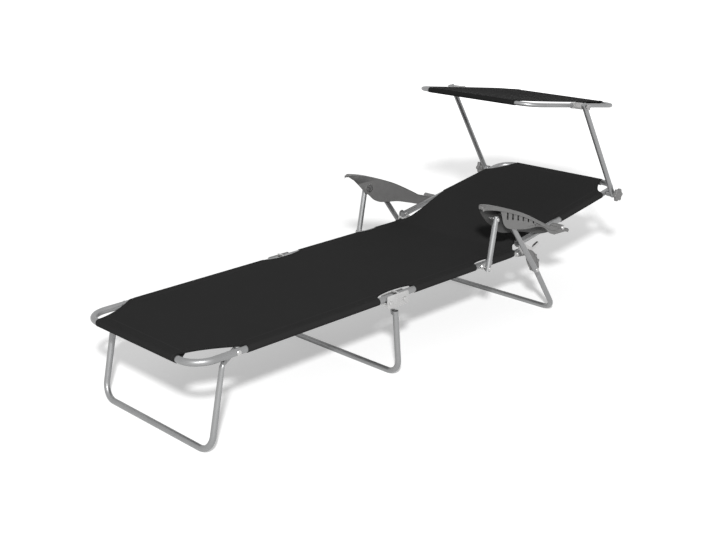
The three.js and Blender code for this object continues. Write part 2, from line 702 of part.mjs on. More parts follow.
// The oval plate stands beside the leg on two bushes.
function ovalPlate(sign) {
  const outline = [];
  for (let step = 0; step < OVAL_POINTS; step++) {
    const angle = (step * 2 * Math.PI) / OVAL_POINTS;
    const along = OVAL_ALONG + OVAL_HALF_LONG * Math.cos(angle);
    const aside = OVAL_ASIDE - OVAL_HALF_WIDE * Math.sin(angle);
    const place = rearLegPlace(along, aside);
    outline.push([place.x, place.z]);
  }
  const bushes = OVAL_BUSH_ALONG_SHARES.map((share) => {
    const centre = rearLegPlace(OVAL_ALONG + share * OVAL_HALF_LONG, OVAL_BUSH_ASIDE);
    const bushIn = LEG_OUT + TOUCH_GAP;
    return crossPin(centre, OVAL_BUSH_RADIUS, bushIn, OVAL_OUT + OVAL_BUSH_PROUD, sign);
  });
  const plate = joined([sidePlate(outline, OVAL_IN, OVAL_OUT, sign), ...bushes]);
  return plate.subtract(hole(PROP_PIVOT, OVAL_IN, OVAL_OUT, sign));
}

// Rear hinge plate: a strap on the rail, an ear for the backrest and a tongue for the rear leg
function hingePlate(sign) {
  const round = PLATE_ROUND;
  const link = (start, startRadius, end, endRadius) =>
    linkPlate(start, startRadius, end, endRadius, PLATE_IN, PLATE_OUT, sign);
  return joined([
    link(PLATE_START, PLATE_START_ROUND, PLATE_RAIL_END, round),
    link(PLATE_RAIL_END, round, BACK_PIVOT, round),
    link(PLATE_RAIL_END, round, REAR_LEG_PIVOT, round),
    link(BACK_PIVOT, PLATE_START_ROUND, REAR_LEG_PIVOT, PLATE_START_ROUND),
    link(REAR_LEG_PIVOT, PLATE_ARM_ROOT_RADIUS, PLATE_ARM_END, PLATE_ARM_RADIUS),
  ])
    .subtract(hole(PLATE_RIVET, PLATE_IN, PLATE_OUT, sign))
    .subtract(hole(BACK_PIVOT, PLATE_IN, PLATE_OUT, sign))
    .subtract(hole(REAR_LEG_PIVOT, PLATE_IN, PLATE_OUT, sign));
}

function backFrame() {
  const corners = [
    backPoint(BACK_LOWER_END, -RAIL_Y),
    backPoint(BACK_LENGTH, -RAIL_Y),
    backPoint(BACK_LENGTH, RAIL_Y),
    backPoint(BACK_LOWER_END, RAIL_Y),
  ];
  const path = openPath(corners, [BACK_CORNER_BEND, BACK_CORNER_BEND]);
  let frame = tubeAlong(path, RAIL_RADIUS);
  frame = withHoles(frame, BACK_PIVOT, RAIL_IN, RAIL_OUT);
  frame = withHoles(frame, ARM_PIVOT, RAIL_IN, RAIL_OUT);
  return withHoles(frame, POST_PIVOT, RAIL_IN, RAIL_OUT, STUD_RADIUS);
}

// The place of a point of the armrest, from its shares.
function armPlace([lengthShare, heightShare]) {
  const frontX = ARM_PIVOT.x + ARM_PAST_PIVOT - ARM_LENGTH;
  const baseZ = ARM_PIVOT.z - ARM_BELOW_PIVOT;
  return [frontX + lengthShare * ARM_LENGTH, baseZ + heightShare * ARM_HEIGHT];
}

// A smooth line through points of the armrest.
function armEdge(shares, stepsBetween = 1) {
  const points = shares.map(armPlace).map(([x, z]) => at(x, 0, z));
  const curve = new THREE.CatmullRomCurve3(points);
  const steps = stepsBetween * (points.length - 1);
  return curve.getPoints(steps).map((point) => [point.x, point.z]);
}

function armTopEdge() {
  return armEdge(ARM_TOP_SHARES, ARM_TOP_STEPS);
}

// Height of the armrest's top at one place of its length.
function armTop(x) {
  const points = armTopEdge();
  const next = points.findIndex(([pointX]) => pointX > x);
  const [fromX, fromZ] = points[next - 1];
  const [toX, toZ] = points[next];
  return fromZ + ((toZ - fromZ) * (x - fromX)) / (toX - fromX);
}

// A strip of even depth under the armrest's top.
function underTop(depth) {
  const top = armTopEdge();
  const under = top.map(([x, z]) => [x, z - depth]);
  return [...under, ...top.reverse()];
}

// The armrest's top between two places, from the head end to the foot end.
function topBetween(fromX, toX) {
  const inside = armTopEdge().filter(([x]) => x > fromX && x < toX);
  return [...inside, [toX, armTop(toX)]].reverse().concat([[fromX, armTop(fromX)]]);
}

// One slanted rib across the channel: the prop's pin stops against these.
function armTooth(x, sign) {
  const low = armTop(x) - TOOTH_DEPTH;
  const high = armTop(x + TOOTH_LEAN) - ARM_FLANGE / 2;
  const outline = [
    [x, low],
    [x + TOOTH_THICK, low],
    [x + TOOTH_THICK + TOOTH_LEAN, high],
    [x + TOOTH_LEAN, high],
  ];
  return sidePlate(outline, ARM_IN + ARM_WALL / 2, ARM_OUT - ARM_WALL / 2, sign);
}

// One window in the outer wall, between two teeth.
function armWindow(x, sign) {
  const from = x + TOOTH_THICK + WINDOW_SIDE;
  const to = x + TOOTH_PITCH - WINDOW_SIDE;
  const lean = TOOTH_LEAN / 2;
  const outline = [
    [from, armTop(from) - WINDOW_DEPTH],
    [to, armTop(to) - WINDOW_DEPTH],
    [to + lean, armTop(to + lean) - WINDOW_TOP],
    [from + lean, armTop(from + lean) - WINDOW_TOP],
  ];
  return sidePlate(outline, ARM_OUT - ARM_WALL - CUT_PAST, ARM_OUT + CUT_PAST, sign);
}

function armrest(sign) {
  const outerIn = ARM_OUT - ARM_WALL;
  const leaf = [...armEdge(ARM_LEAF_SHARES), ...armTopEdge()];
  const outerLower = armEdge(ARM_OUTER_SHARES);
  const outerFrom = outerLower[outerLower.length - 1][0];
  const outerTo = outerLower[0][0];
  const outer = [...outerLower.reverse(), ...topBetween(outerFrom, outerTo)];
  const rearFloor = ARM_REAR_FLOOR_SHARES.map(armPlace);
  const rear = [...rearFloor, ...topBetween(rearFloor[0][0], rearFloor[2][0])];
  const teeth = [];
  const windows = [];
  for (let tooth = 0; tooth < TOOTH_COUNT; tooth++) {
    const x = armPlace([TOOTH_FIRST_SHARE, 0])[0] + tooth * TOOTH_PITCH;
    teeth.push(armTooth(x, sign));
    if (tooth < TOOTH_COUNT - 1) {
      windows.push(armWindow(x, sign));
    }
  }
  const slotReach = SLOT_HALF_LONG - SLOT_HALF_HIGH;
  const slotStart = { x: STRUT_TOP.x - slotReach, z: STRUT_TOP.z };
  const slotEnd = { x: STRUT_TOP.x + slotReach, z: STRUT_TOP.z };
  const slotOutline = linkOutline(slotStart, SLOT_HALF_HIGH, slotEnd, SLOT_HALF_HIGH);
  const slot = sidePlate(slotOutline, ARM_IN - CUT_PAST, ARM_IN + ARM_WALL + CUT_PAST, sign);
  return joined([
    sidePlate(leaf, ARM_IN, ARM_IN + ARM_WALL, sign),
    sidePlate(underTop(ARM_FLANGE), ARM_IN, ARM_OUT, sign),
    sidePlate(underTop(ARM_LIP), outerIn, ARM_OUT, sign),
    sidePlate(outer, outerIn, ARM_OUT, sign),
    sidePlate(rear, outerIn, ARM_OUT, sign),
    crossPin(ARM_PIVOT, ARM_BOSS_RADIUS, ARM_BOSS_IN, ARM_OUT, sign, ROUND_FACETS),
    ...teeth,
  ])
    .subtract(joined(windows))
    .subtract(slot)
    .subtract(hole(ARM_PIVOT, ARM_BOSS_IN, ARM_OUT, sign));
}

// Pivots that follow from the pieces above
const [STRUT_TOP_X, STRUT_TOP_Z] = armPlace(STRUT_TOP_SHARES);
const STRUT_TOP = { x: STRUT_TOP_X, z: STRUT_TOP_Z };
const STRUT_PIVOT = { x: STRUT_TOP.x - STRUT_LEAN, z: RAIL_Z - STRUT_FOOT_DROP };
const PROP_PIVOT = rearLegPlace(PROP_ALONG, PROP_ASIDE);
const [PROP_TOP_X] = armPlace([PROP_TOP_SHARE, 0]);
const PROP_TOP = { x: PROP_TOP_X, z: armTop(PROP_TOP_X) - PROP_TOP_DEPTH };
const POST_PIVOT = backPoint(POST_ALONG, 0);
const CANOPY_PIVOT = {
  x: POST_PIVOT.x - POST_LENGTH * Math.sin(POST_LEAN),
  z: POST_PIVOT.z + POST_LENGTH * Math.cos(POST_LEAN),
};

// Struts and props
function strut(sign) {
  return strutTube(STRUT_PIVOT, STRUT_TOP, STRUT_BEYOND, sign * STRUT_Y)
    .subtract(hole(STRUT_PIVOT, STRUT_IN, STRUT_OUT, sign))
    .subtract(hole(STRUT_TOP, STRUT_IN, STRUT_OUT, sign));
}

function strutBracket(sign) {
  const base = RAIL_OUT + TOUCH_GAP;
  const flange = base + STRUT_BRACKET_FLANGE;
  const end = STRUT_IN - TOUCH_GAP;
  return joined([
    crossPin(STRUT_PIVOT, STRUT_BRACKET_RADIUS, base, flange, sign),
    crossPin(STRUT_PIVOT, STRUT_BRACKET_STEM_RADIUS, base, end, sign),
  ]).subtract(hole(STRUT_PIVOT, base, end, sign));
}

function strutTopBolt(sign) {
  const washerOut = ARM_IN - TOUCH_GAP;
  const washerIn = washerOut - WASHER_THICK;
  const spacerIn = ARM_IN + ARM_WALL + TOUCH_GAP;
  const headIn = STRUT_OUT + TOUCH_GAP;
  return joined([
    crossPin(STRUT_TOP, PIN_RADIUS, washerIn, headIn + HEAD_THICK, sign),
    crossPin(STRUT_TOP, WASHER_RADIUS, washerIn, washerOut, sign, ROUND_FACETS),
    crossPin(STRUT_TOP, HEAD_RADIUS, spacerIn, STRUT_IN - TOUCH_GAP, sign),
    crossPin(STRUT_TOP, HEAD_RADIUS, headIn, headIn + HEAD_THICK, sign),
  ]);
}

function prop(sign) {
  return strutTube(PROP_PIVOT, PROP_TOP, PROP_BEYOND, sign * PROP_Y)
    .subtract(hole(PROP_PIVOT, PROP_IN, PROP_OUT, sign))
    .subtract(hole(PROP_TOP, PROP_IN, PROP_OUT, sign, PROP_STOP_RADIUS));
}

// Canopy
function canopyPoint(along, y) {
  const cos = Math.cos(CANOPY_ANGLE);
  const sin = Math.sin(CANOPY_ANGLE);
  return at(CANOPY_PIVOT.x + along * cos, y, CANOPY_PIVOT.z + along * sin);
}

function canopyFrame() {
  const corners = [
    canopyPoint(CANOPY_FRONT, -CANOPY_Y),
    canopyPoint(CANOPY_REAR, -CANOPY_Y),
    canopyPoint(CANOPY_REAR, CANOPY_Y),
    canopyPoint(CANOPY_FRONT, CANOPY_Y),
  ];
  const stations = [];
  corners.forEach((corner, index) => {
    const before = corners[(index + 3) % 4];
    const after = corners[(index + 1) % 4];
    stations.push(...bendStations(before, corner, after, CANOPY_CORNER_BEND));
  });
  stations.push(stations[0]);
  const path = new BentPath(stations);
  const steps = stations.length - 1;
  return solidOf(new THREE.TubeGeometry(path, steps, CANOPY_RADIUS, TUBE_FACETS, true));
}

// A post with the collar that holds it off the backrest's rail.
function post(sign) {
  const collarIn = RAIL_OUT + TOUCH_GAP;
  const tube = strutTube(POST_PIVOT, CANOPY_PIVOT, POST_BEYOND, sign * POST_Y);
  const collar = crossPin(POST_PIVOT, POST_COLLAR_RADIUS, collarIn, POST_Y, sign, ROUND_FACETS);
  return joined([tube, collar])
    .subtract(hole(POST_PIVOT, collarIn, POST_OUT, sign, STUD_RADIUS))
    .subtract(hole(CANOPY_PIVOT, POST_IN, POST_OUT, sign, STUD_RADIUS));
}

// A clip around the side tube with a boss out to the post.
function canopyClip(sign) {
  const y = sign * CANOPY_Y;
  const clip = straightTube(
    canopyPoint(-CLIP_HALF_LONG, y),
    canopyPoint(CLIP_HALF_LONG, y),
    CLIP_RADIUS,
  );
  const bore = straightTube(
    canopyPoint(-CLIP_HALF_LONG - CUT_PAST, y),
    canopyPoint(CLIP_HALF_LONG + CUT_PAST, y),
    CANOPY_RADIUS + TOUCH_GAP,
  );
  const boss = crossPin(CANOPY_PIVOT, CLIP_RADIUS, CANOPY_Y, CLIP_OUT, sign, ROUND_FACETS);
  const studBore = hole(CANOPY_PIVOT, CLIP_OUT - CLIP_BORE_DEPTH, CLIP_OUT, sign, STUD_RADIUS);
  return joined([clip, boss]).subtract(bore).subtract(studBore);
}

// A star knob with its threaded stud; all but the stud is a share of the big knob's size.
function starKnob(centre, studIn, sign, share = 1) {
  const outline = [];
  for (let step = 0; step < KNOB_POINTS; step++) {
    const angle = (step * 2 * Math.PI) / KNOB_POINTS;
    const radius = share * (KNOB_RADIUS + KNOB_LOBE * Math.cos(KNOB_LOBES * angle));
    outline.push([centre.x + radius * Math.cos(angle), centre.z + radius * Math.sin(angle)]);
  }
  const hubIn = POST_OUT + TOUCH_GAP;
  const starIn = hubIn + share * KNOB_HUB_THICK;
  const starOut = starIn + share * KNOB_THICK;
  const capOut = starOut + share * KNOB_CAP_THICK;
  return joined([
    crossPin(centre, STUD_RADIUS, studIn, starOut, sign),
    crossPin(centre, share * KNOB_HUB_RADIUS, hubIn, starOut, sign, ROUND_FACETS),
    sidePlate(outline, starIn, starOut, sign),
    crossPin(centre, share * KNOB_CAP_RADIUS, starIn, capOut, sign, ROUND_FACETS),
  ]);
}

// Cloth: a web cut to its scalloped plan, with sleeves around the tubes
function sleeveAlong(start, end, tubeRadius) {
  const way = end.clone().sub(start).normalize().multiplyScalar(CUT_PAST);
  const boreStart = start.clone().sub(way);
  const boreEnd = end.clone().add(way);
  const outer = straightTube(start, end, tubeRadius + SLEEVE_GAP + CLOTH_THICK);
  return outer.subtract(straightTube(boreStart, boreEnd, tubeRadius + SLEEVE_GAP));
}

// A web whose side view is a line of points, cut to a plan outline.
function clothWeb(line, plan, halfWidth) {
  const upper = line.map(([x, z]) => [x, z + CLOTH_THICK]);
  const outline = [...line, ...upper.reverse()];
  const band = sidePlate(outline, -halfWidth, halfWidth, 1);
  const heights = line.map(([, z]) => z);
  const low = Math.min(...heights) - CLOTH_THICK;
  const high = Math.max(...heights) + 2 * CLOTH_THICK;
  return band.intersect(planSlab(plan, low, high));
}

// The plan outline of a web through key places, from a rule for its half width.
// A straight stretch has no points between, and those of a curved one crowd at its ends.
function clothPlan(places, halfWidth) {
  const near = [[places[0], -halfWidth(places[0])]];
  for (let index = 1; index < places.length; index++) {
    const from = places[index - 1];
    const to = places[index];
    const widths = [from, (from + to) / 2, to].map(halfWidth);
    const straight = Math.max(...widths) === Math.min(...widths);
    const steps = straight ? 1 : Math.ceil((to - from) / CLOTH_EDGE_STEP);
    for (let step = 1; step <= steps; step++) {
      const share = (1 - Math.cos((Math.PI * step) / steps)) / 2;
      const place = from + (to - from) * share;
      near.push([place, -halfWidth(place)]);
    }
  }
  const far = near.map(([x, y]) => [x, -y]).reverse();
  return [...near, ...far];
}

// Half width taken away by a scallop that is deepest in its middle.
function scallopBite(x, from, to, depth) {
  const fraction = (x - from) / (to - from);
  if (fraction <= 0 || fraction >= 1) {
    return 0;
  }
  return depth * Math.sqrt(Math.sin(Math.PI * fraction));
}

// Share of the way into a corner, nought before it starts and one at its end.
function cornerShare(place, start, end) {
  return Math.min(Math.max((place - start) / (end - start), 0), 1);
}

const MID_SCALLOP_FROM = BRACKET_MIDDLE_X - MID_SCALLOP_BACK;
const MID_SCALLOP_TO = BRACKET_MIDDLE_X + MID_SCALLOP_AHEAD;

function midScallopBite(x) {
  return scallopBite(x, MID_SCALLOP_FROM, MID_SCALLOP_TO, MID_SCALLOP_DEPTH);
}

function footCloth() {
  const end = BRACKET_MIDDLE_X - CLOTH_PARTING / 2;
  const line = [
    [0, BRACKET_WEB_Z],
    [end, BRACKET_WEB_Z],
  ];
  const halfWidth = (x) => {
    const share = cornerShare(x, FOOT_CORNER_CLOTH_X, 0);
    const corner = (RAIL_Y - FOOT_BAR_CLOTH_Y) * (1 - (1 - share) ** CORNER_CURVE);
    return RAIL_Y - corner - midScallopBite(x);
  };
  const endSleeve = sleeveAlong(
    at(0, -FOOT_BAR_CLOTH_Y, RAIL_Z),
    at(0, FOOT_BAR_CLOTH_Y, RAIL_Z),
    RAIL_RADIUS,
  );
  const sideSleeves = SIDES.map((side) =>
    sleeveAlong(
      at(FOOT_SLEEVE_START_X, side.sign * RAIL_Y, RAIL_Z),
      at(MID_SCALLOP_FROM, side.sign * RAIL_Y, RAIL_Z),
      RAIL_RADIUS,
    ),
  );
  const plan = clothPlan([0, FOOT_CORNER_CLOTH_X, MID_SCALLOP_FROM, end], halfWidth);
  const web = clothWeb(line, plan, RAIL_Y);
  return joined([web, endSleeve, ...sideSleeves]);
}

function seatCloth() {
  const start = BRACKET_MIDDLE_X + CLOTH_PARTING / 2;
  const end = BACK_PIVOT.x - SEAT_CLOTH_END_BACK;
  const riseFrom = end - SEAT_CLOTH_RISE_LENGTH;
  const [kneeShare, kneeRiseShare] = RISE_KNEE_SHARES;
  const line = [
    [start, BRACKET_WEB_Z],
    [riseFrom, BRACKET_WEB_Z],
    [
      riseFrom + kneeShare * SEAT_CLOTH_RISE_LENGTH,
      BRACKET_WEB_Z + kneeRiseShare * SEAT_CLOTH_RISE,
    ],
    [end, BRACKET_WEB_Z + SEAT_CLOTH_RISE],
  ];
  const rearFrom = end - REAR_SCALLOP_LENGTH;
  const rearTo = end + REAR_SCALLOP_LENGTH;
  const halfWidth = (x) => {
    const rearBite = scallopBite(x, rearFrom, rearTo, REAR_SCALLOP_DEPTH);
    return RAIL_Y - midScallopBite(x) - rearBite;
  };
  const sleeves = SIDES.map((side) =>
    sleeveAlong(
      at(MID_SCALLOP_TO, side.sign * RAIL_Y, RAIL_Z),
      at(riseFrom, side.sign * RAIL_Y, RAIL_Z),
      RAIL_RADIUS,
    ),
  );
  const roomRadius = STRUT_BRACKET_RADIUS + STRUT_BRACKET_ROOM;
  const outerFrom = RAIL_Y + CLOTH_THICK;
  const outerTo = RAIL_OUT + STRUT_BRACKET_FLANGE;
  const innerFrom = RAIL_IN - STRUT_BRACKET_FLANGE;
  const innerTo = RAIL_Y - CLOTH_THICK;
  const rooms = SIDES.flatMap((side) => [
    crossPin(STRUT_PIVOT, roomRadius, outerFrom, outerTo, side.sign),
    crossPin(STRUT_PIVOT, roomRadius, innerFrom, innerTo, side.sign),
  ]);
  const plan = clothPlan([start, MID_SCALLOP_TO, rearFrom, end], halfWidth);
  const web = clothWeb(line, plan, RAIL_Y);
  return joined([web, joined(sleeves).subtract(joined(rooms))]);
}

// Sets a solid that was made flat, measured from a pivot, at that pivot and at a slope.
function tilted(solid, pivot, angle) {
  const degrees = THREE.MathUtils.radToDeg(-angle);
  return solid.rotate([0, degrees, 0]).translate([pivot.x, 0, pivot.z]);
}

function backCloth() {
  const webUp = RAIL_RADIUS + SLEEVE_GAP;
  const line = [
    [BACK_CLOTH_START, BACK_CLOTH_START_UP],
    [BACK_CLOTH_FLAT_FROM, webUp],
    [BACK_LENGTH, webUp],
  ];
  const halfWidth = (along) => {
    const lowerShare = cornerShare(along, BACK_SLEEVE_FROM, BACK_CLOTH_START);
    const upperShare = cornerShare(along, BACK_SLEEVE_TO, BACK_LENGTH);
    const lowerBite = REAR_SCALLOP_DEPTH * Math.sqrt(Math.sin((Math.PI / 2) * lowerShare));
    const upperBite = (RAIL_Y - HEAD_BAR_CLOTH_Y) * upperShare ** HEAD_CORNER_CURVE;
    return RAIL_Y - lowerBite - upperBite;
  };
  const places = [BACK_CLOTH_START, BACK_SLEEVE_FROM, BACK_SLEEVE_TO, BACK_LENGTH];
  const plan = clothPlan(places, halfWidth);
  const headSleeve = sleeveAlong(
    at(BACK_LENGTH, -HEAD_BAR_CLOTH_Y, 0),
    at(BACK_LENGTH, HEAD_BAR_CLOTH_Y, 0),
    RAIL_RADIUS,
  );
  const sideSleeves = SIDES.map((side) =>
    sleeveAlong(
      at(BACK_SLEEVE_FROM, side.sign * RAIL_Y, 0),
      at(BACK_SLEEVE_TO, side.sign * RAIL_Y, 0),
      RAIL_RADIUS,
    ),
  );
  const flat = joined([clothWeb(line, plan, RAIL_Y), headSleeve, ...sideSleeves]);
  return tilted(flat, BACK_PIVOT, BACK_ANGLE);
}

function canopyCloth() {
  const webUp = CANOPY_RADIUS + SLEEVE_GAP;
  const line = [
    [CANOPY_FRONT, webUp],
    [CANOPY_REAR, webUp],
  ];
  const halfWidth = (along) => {
    const share = cornerShare(along, CANOPY_FRONT, CANOPY_REAR);
    const swell = Math.max(Math.sin(Math.PI * share), 0) ** CANOPY_CLOTH_CURVE;
    return CANOPY_CLOTH_BAR_Y + (CANOPY_CLOTH_MIDDLE_Y - CANOPY_CLOTH_BAR_Y) * swell;
  };
  const bars = [CANOPY_FRONT, CANOPY_REAR].map((along) =>
    sleeveAlong(
      at(along, -CANOPY_CLOTH_BAR_Y, 0),
      at(along, CANOPY_CLOTH_BAR_Y, 0),
      CANOPY_RADIUS,
    ),
  );
  const plan = clothPlan([CANOPY_FRONT, CANOPY_REAR], halfWidth);
  const flat = joined([clothWeb(line, plan, CANOPY_Y), ...bars]);
  return tilted(flat, CANOPY_PIVOT, CANOPY_ANGLE);
}

// A rivet with one head inside the tab of a folding leg and its shaft out to a given place.
function tabPin(centre, tabIn, shaftOut) {
  const headIn = tabIn - TOUCH_GAP - HEAD_THICK;
  return (sign) =>
    joined([
      crossPin(centre, PIN_RADIUS, headIn, shaftOut, sign),
      crossPin(centre, HEAD_RADIUS, headIn, tabIn - TOUCH_GAP, sign),
    ]);
}

function footLegPin(sign) {
  const headIn = RAIL_OUT + TOUCH_GAP;
  const headOut = headIn + LOW_HEAD_THICK;
  return joined([
    tabPin(FOOT_LEG_PIVOT, FOOT_TAB_IN, headOut)(sign),
    crossPin(FOOT_LEG_PIVOT, HEAD_RADIUS, headIn, headOut, sign),
  ]);
}

// The rear leg's pin ends flush in the hinge plate and carries a collar between leg and plate.
function rearLegPin(sign) {
  const collar = [LEG_OUT + TOUCH_GAP, PLATE_IN - TOUCH_GAP];
  return joined([
    tabPin(REAR_LEG_PIVOT, LEG_IN, PLATE_OUT)(sign),
    crossPin(REAR_LEG_PIVOT, HEAD_RADIUS, collar[0], collar[1], sign),
  ]);
}

function propStopPin(sign) {
  const inner = ARM_IN + ARM_WALL + PROP_STOP_GAP;
  const outer = ARM_OUT - ARM_WALL - PROP_STOP_GAP;
  return crossPin(PROP_TOP, PROP_STOP_RADIUS, inner, outer, sign);
}

// Whole pieces
addNode("foot_frame_tube", footFrame(), alloy);
addNode("foot_cloth", footCloth(), cloth);
addNode("seat_cloth", seatCloth(), cloth);
addNode("back_frame_tube", backFrame(), alloy);
addNode("back_cloth", backCloth(), cloth);
addNode("foot_leg_tube", footLeg(), alloy);
addNode("mid_leg_tube", midLeg(), alloy);
addNode("rear_leg_tube", rearLeg(), alloy);
addNode("canopy_frame_tube", canopyFrame(), alloy);
addNode("canopy_cloth", canopyCloth(), cloth);

// Pieces that stand on both sides
for (const { name, sign } of SIDES) {
  const bracketIn = BRACKET_INNER_FROM - TOUCH_GAP;
  const bracketOut = BRACKET_OUTER_TO + TOUCH_GAP;
  const railIn = RAIL_IN - TOUCH_GAP;
  const plateOut = PLATE_OUT + TOUCH_GAP;
  const strutOut = STRUT_OUT + TOUCH_GAP;
  const midPin = tabPin(MID_PIVOT, MID_TAB_IN, BRACKET_INNER_TO);
  const propPin = rivet(PROP_PIVOT, OVAL_IN - TOUCH_GAP, PROP_OUT + TOUCH_GAP, sign);
  const postKnob = starKnob(POST_PIVOT, RAIL_Y - POST_STUD_SINK, sign);
  const tiltKnob = starKnob(CANOPY_PIVOT, TILT_STUD_IN, sign, TILT_KNOB_SHARE);
  addNode(`seat_rail_${name}`, seatRail(sign), alloy);
  addNode(`front_strut_${name}`, strut(sign), alloy);
  addNode(`prop_${name}`, prop(sign), alloy);
  addNode(`canopy_post_${name}`, post(sign), alloy);
  addNode(`armrest_${name}`, armrest(sign), plastic);
  addNode(`oval_plate_${name}`, ovalPlate(sign), plastic);
  addNode(`canopy_clip_${name}`, canopyClip(sign), plastic);
  addNode(`post_knob_${name}`, postKnob, plastic);
  addNode(`tilt_knob_${name}`, tiltKnob, plastic);
  addNode(`mid_bracket_${name}`, midBracket(sign), steel);
  addNode(`hinge_plate_${name}`, hingePlate(sign), steel);
  addNode(`strut_bracket_${name}`, strutBracket(sign), steel);
  addNode(`strut_top_bolt_${name}`, strutTopBolt(sign), steel);
  addNode(`bracket_pin_foot_${name}`, rivet(FOOT_PIVOT, bracketIn, bracketOut, sign), steel);
  addNode(`bracket_pin_seat_${name}`, rivet(SEAT_PIVOT, bracketIn, bracketOut, sign), steel);
  addNode(`mid_leg_pin_${name}`, midPin(sign), steel);
  addNode(`foot_leg_pin_${name}`, footLegPin(sign), steel);
  addNode(`rear_leg_pin_${name}`, rearLegPin(sign), steel);
  addNode(`hinge_rivet_${name}`, rivet(PLATE_RIVET, railIn, plateOut, sign), steel);
  addNode(`back_bolt_${name}`, rivet(BACK_PIVOT, railIn, plateOut, sign), steel);
  addNode(`strut_pin_${name}`, rivet(STRUT_PIVOT, railIn, strutOut, sign), steel);
  addNode(`armrest_bolt_${name}`, rivet(ARM_PIVOT, railIn, ARM_OUT + TOUCH_GAP, sign), steel);
  addNode(`prop_pin_${name}`, propPin, steel);
  addNode(`prop_stop_pin_${name}`, propStopPin(sign), steel);
}

// The shared frame has x = 0 in the middle of the whole length.
const bounds = new THREE.Box3().setFromObject(lounger);
lounger.position.x = -(bounds.min.x + bounds.max.x) / 2;

export default lounger;
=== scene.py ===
import json
import math
from dataclasses import dataclass

import bpy
from mathutils import Matrix, Vector, noise

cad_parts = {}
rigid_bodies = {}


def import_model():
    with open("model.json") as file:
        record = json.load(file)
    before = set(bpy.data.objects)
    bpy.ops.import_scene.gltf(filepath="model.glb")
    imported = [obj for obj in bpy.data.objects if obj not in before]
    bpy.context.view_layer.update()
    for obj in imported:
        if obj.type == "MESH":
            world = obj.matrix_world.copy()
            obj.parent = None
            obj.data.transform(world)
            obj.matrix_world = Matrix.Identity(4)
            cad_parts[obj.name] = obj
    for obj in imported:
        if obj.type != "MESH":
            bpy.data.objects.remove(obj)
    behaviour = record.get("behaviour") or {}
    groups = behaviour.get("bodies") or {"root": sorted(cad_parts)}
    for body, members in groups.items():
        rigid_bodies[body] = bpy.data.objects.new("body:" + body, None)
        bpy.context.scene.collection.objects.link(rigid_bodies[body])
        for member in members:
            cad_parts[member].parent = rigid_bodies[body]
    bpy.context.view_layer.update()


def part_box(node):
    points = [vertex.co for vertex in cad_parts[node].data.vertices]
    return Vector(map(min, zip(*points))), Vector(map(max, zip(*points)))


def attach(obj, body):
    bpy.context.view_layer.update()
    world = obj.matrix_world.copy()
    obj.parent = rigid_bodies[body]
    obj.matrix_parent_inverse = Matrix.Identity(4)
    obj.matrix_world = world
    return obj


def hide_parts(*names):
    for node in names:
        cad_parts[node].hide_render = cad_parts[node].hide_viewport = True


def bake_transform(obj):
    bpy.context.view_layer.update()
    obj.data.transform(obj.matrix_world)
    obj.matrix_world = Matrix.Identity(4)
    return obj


# Sun lounger with a canopy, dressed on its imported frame.
# Sizes are in millimetres from the foot bar, as in the part's source; spot() gives metres.
# Side pieces have distances from the middle plane, and sign puts them left or right.

for thing in list(bpy.data.objects):
    bpy.data.objects.remove(thing, do_unlink=True)

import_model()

MM = 0.001
SIDES = (("left", -1), ("right", 1))
pin_low, pin_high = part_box("foot_leg_pin_left")
FOOT_LEG_PIVOT = (137, 269)
MIDDLE = FOOT_LEG_PIVOT[0] * MM - (pin_low.x + pin_high.x) / 2

# Tubes
RAIL_RADIUS = 10
STRUT_RADIUS = 9
CANOPY_RADIUS = 7
LEG_BEND = 48
RAIL_Y = 258
RAIL_Z = 269
LEG_Y = 253
STRUT_Y = 291
PROP_Y = 290.5
POST_Y = 289
CANOPY_Y = 250

# Pivots in the side view
FOOT_PIVOT = (700, 255)
SEAT_PIVOT = (759, 255)
MID_PIVOT = (735.5, 230)
BACK_PIVOT = (1313.5, 298.7)
REAR_LEG_PIVOT = (1365, 264)
HINGE_RIVET = (1296, 269)
ARM_PIVOT = (1483.96, 325.82)
STRUT_PIVOT = (1119.03, 266)
STRUT_TOP = (1152.03, 421.03)
PROP_PIVOT = (1367.9, 202)
PROP_TOP = (1219.66, 399.97)
POST_PIVOT = (1803.54, 376.66)
CANOPY_PIVOT = (1606.02, 712.25)
BACK_ANGLE = math.atan(0.1591)
CANOPY_ANGLE = math.atan(-0.1396)
BACK_LENGTH = 571.6
CANOPY_FRONT = -242.6
CANOPY_REAR = 256.9
FLOOR_BAR_Z = 8.69
MID_X = (FOOT_PIVOT[0] + SEAT_PIVOT[0]) / 2

# Faces of the steel plates outside and inside the rails, and the heads of their rivets
PLATE = (268.5, 271.3)
INNER_CHEEK = (244.7, 247.5)
RIVET_IN = 247.7
RIVET_OUT = 271.6
STRUT_OUT = 300.3
HEAD_RADIUS = 7.5
SHANK_RADIUS = 4

# Degrees between faces under which they are shaded as one
SMOOTH_UNDER = 32
CLOTH_SMOOTH_UNDER = 42

# Cloth
CLOTH_THICK = 1.2
CLOTH_GAP = 0.3
WEB_RISE = RAIL_RADIUS + CLOTH_GAP + CLOTH_THICK / 2
CLOTH_Z = RAIL_Z + WEB_RISE
LEVEL = (0.0, 1.0)
HEM_WIDE = 13
SEAM_IN = 25
FAR = 100.0


def spot(x, y, z):
    return Vector((x * MM - MIDDLE, y * MM, z * MM))


def in_middle(x, z):
    return tuple(spot(x, 0, z))


def share_of(value, start, end):
    """How far value has come from start to end, held between nought and one."""
    return min(max((value - start) / (end - start), 0), 1)


def frame_corners(start, end, y):
    """The four corners of a frame from two places in the side view, end being its bar."""
    sides = [(start, -y), (end, -y), (end, y), (start, y)]
    return [spot(place[0], aside, place[1]) for place, aside in sides]


# Making and finishing pieces


def active():
    return bpy.context.view_layer.objects.active


def pick_nothing():
    bpy.ops.object.select_all(action="DESELECT")


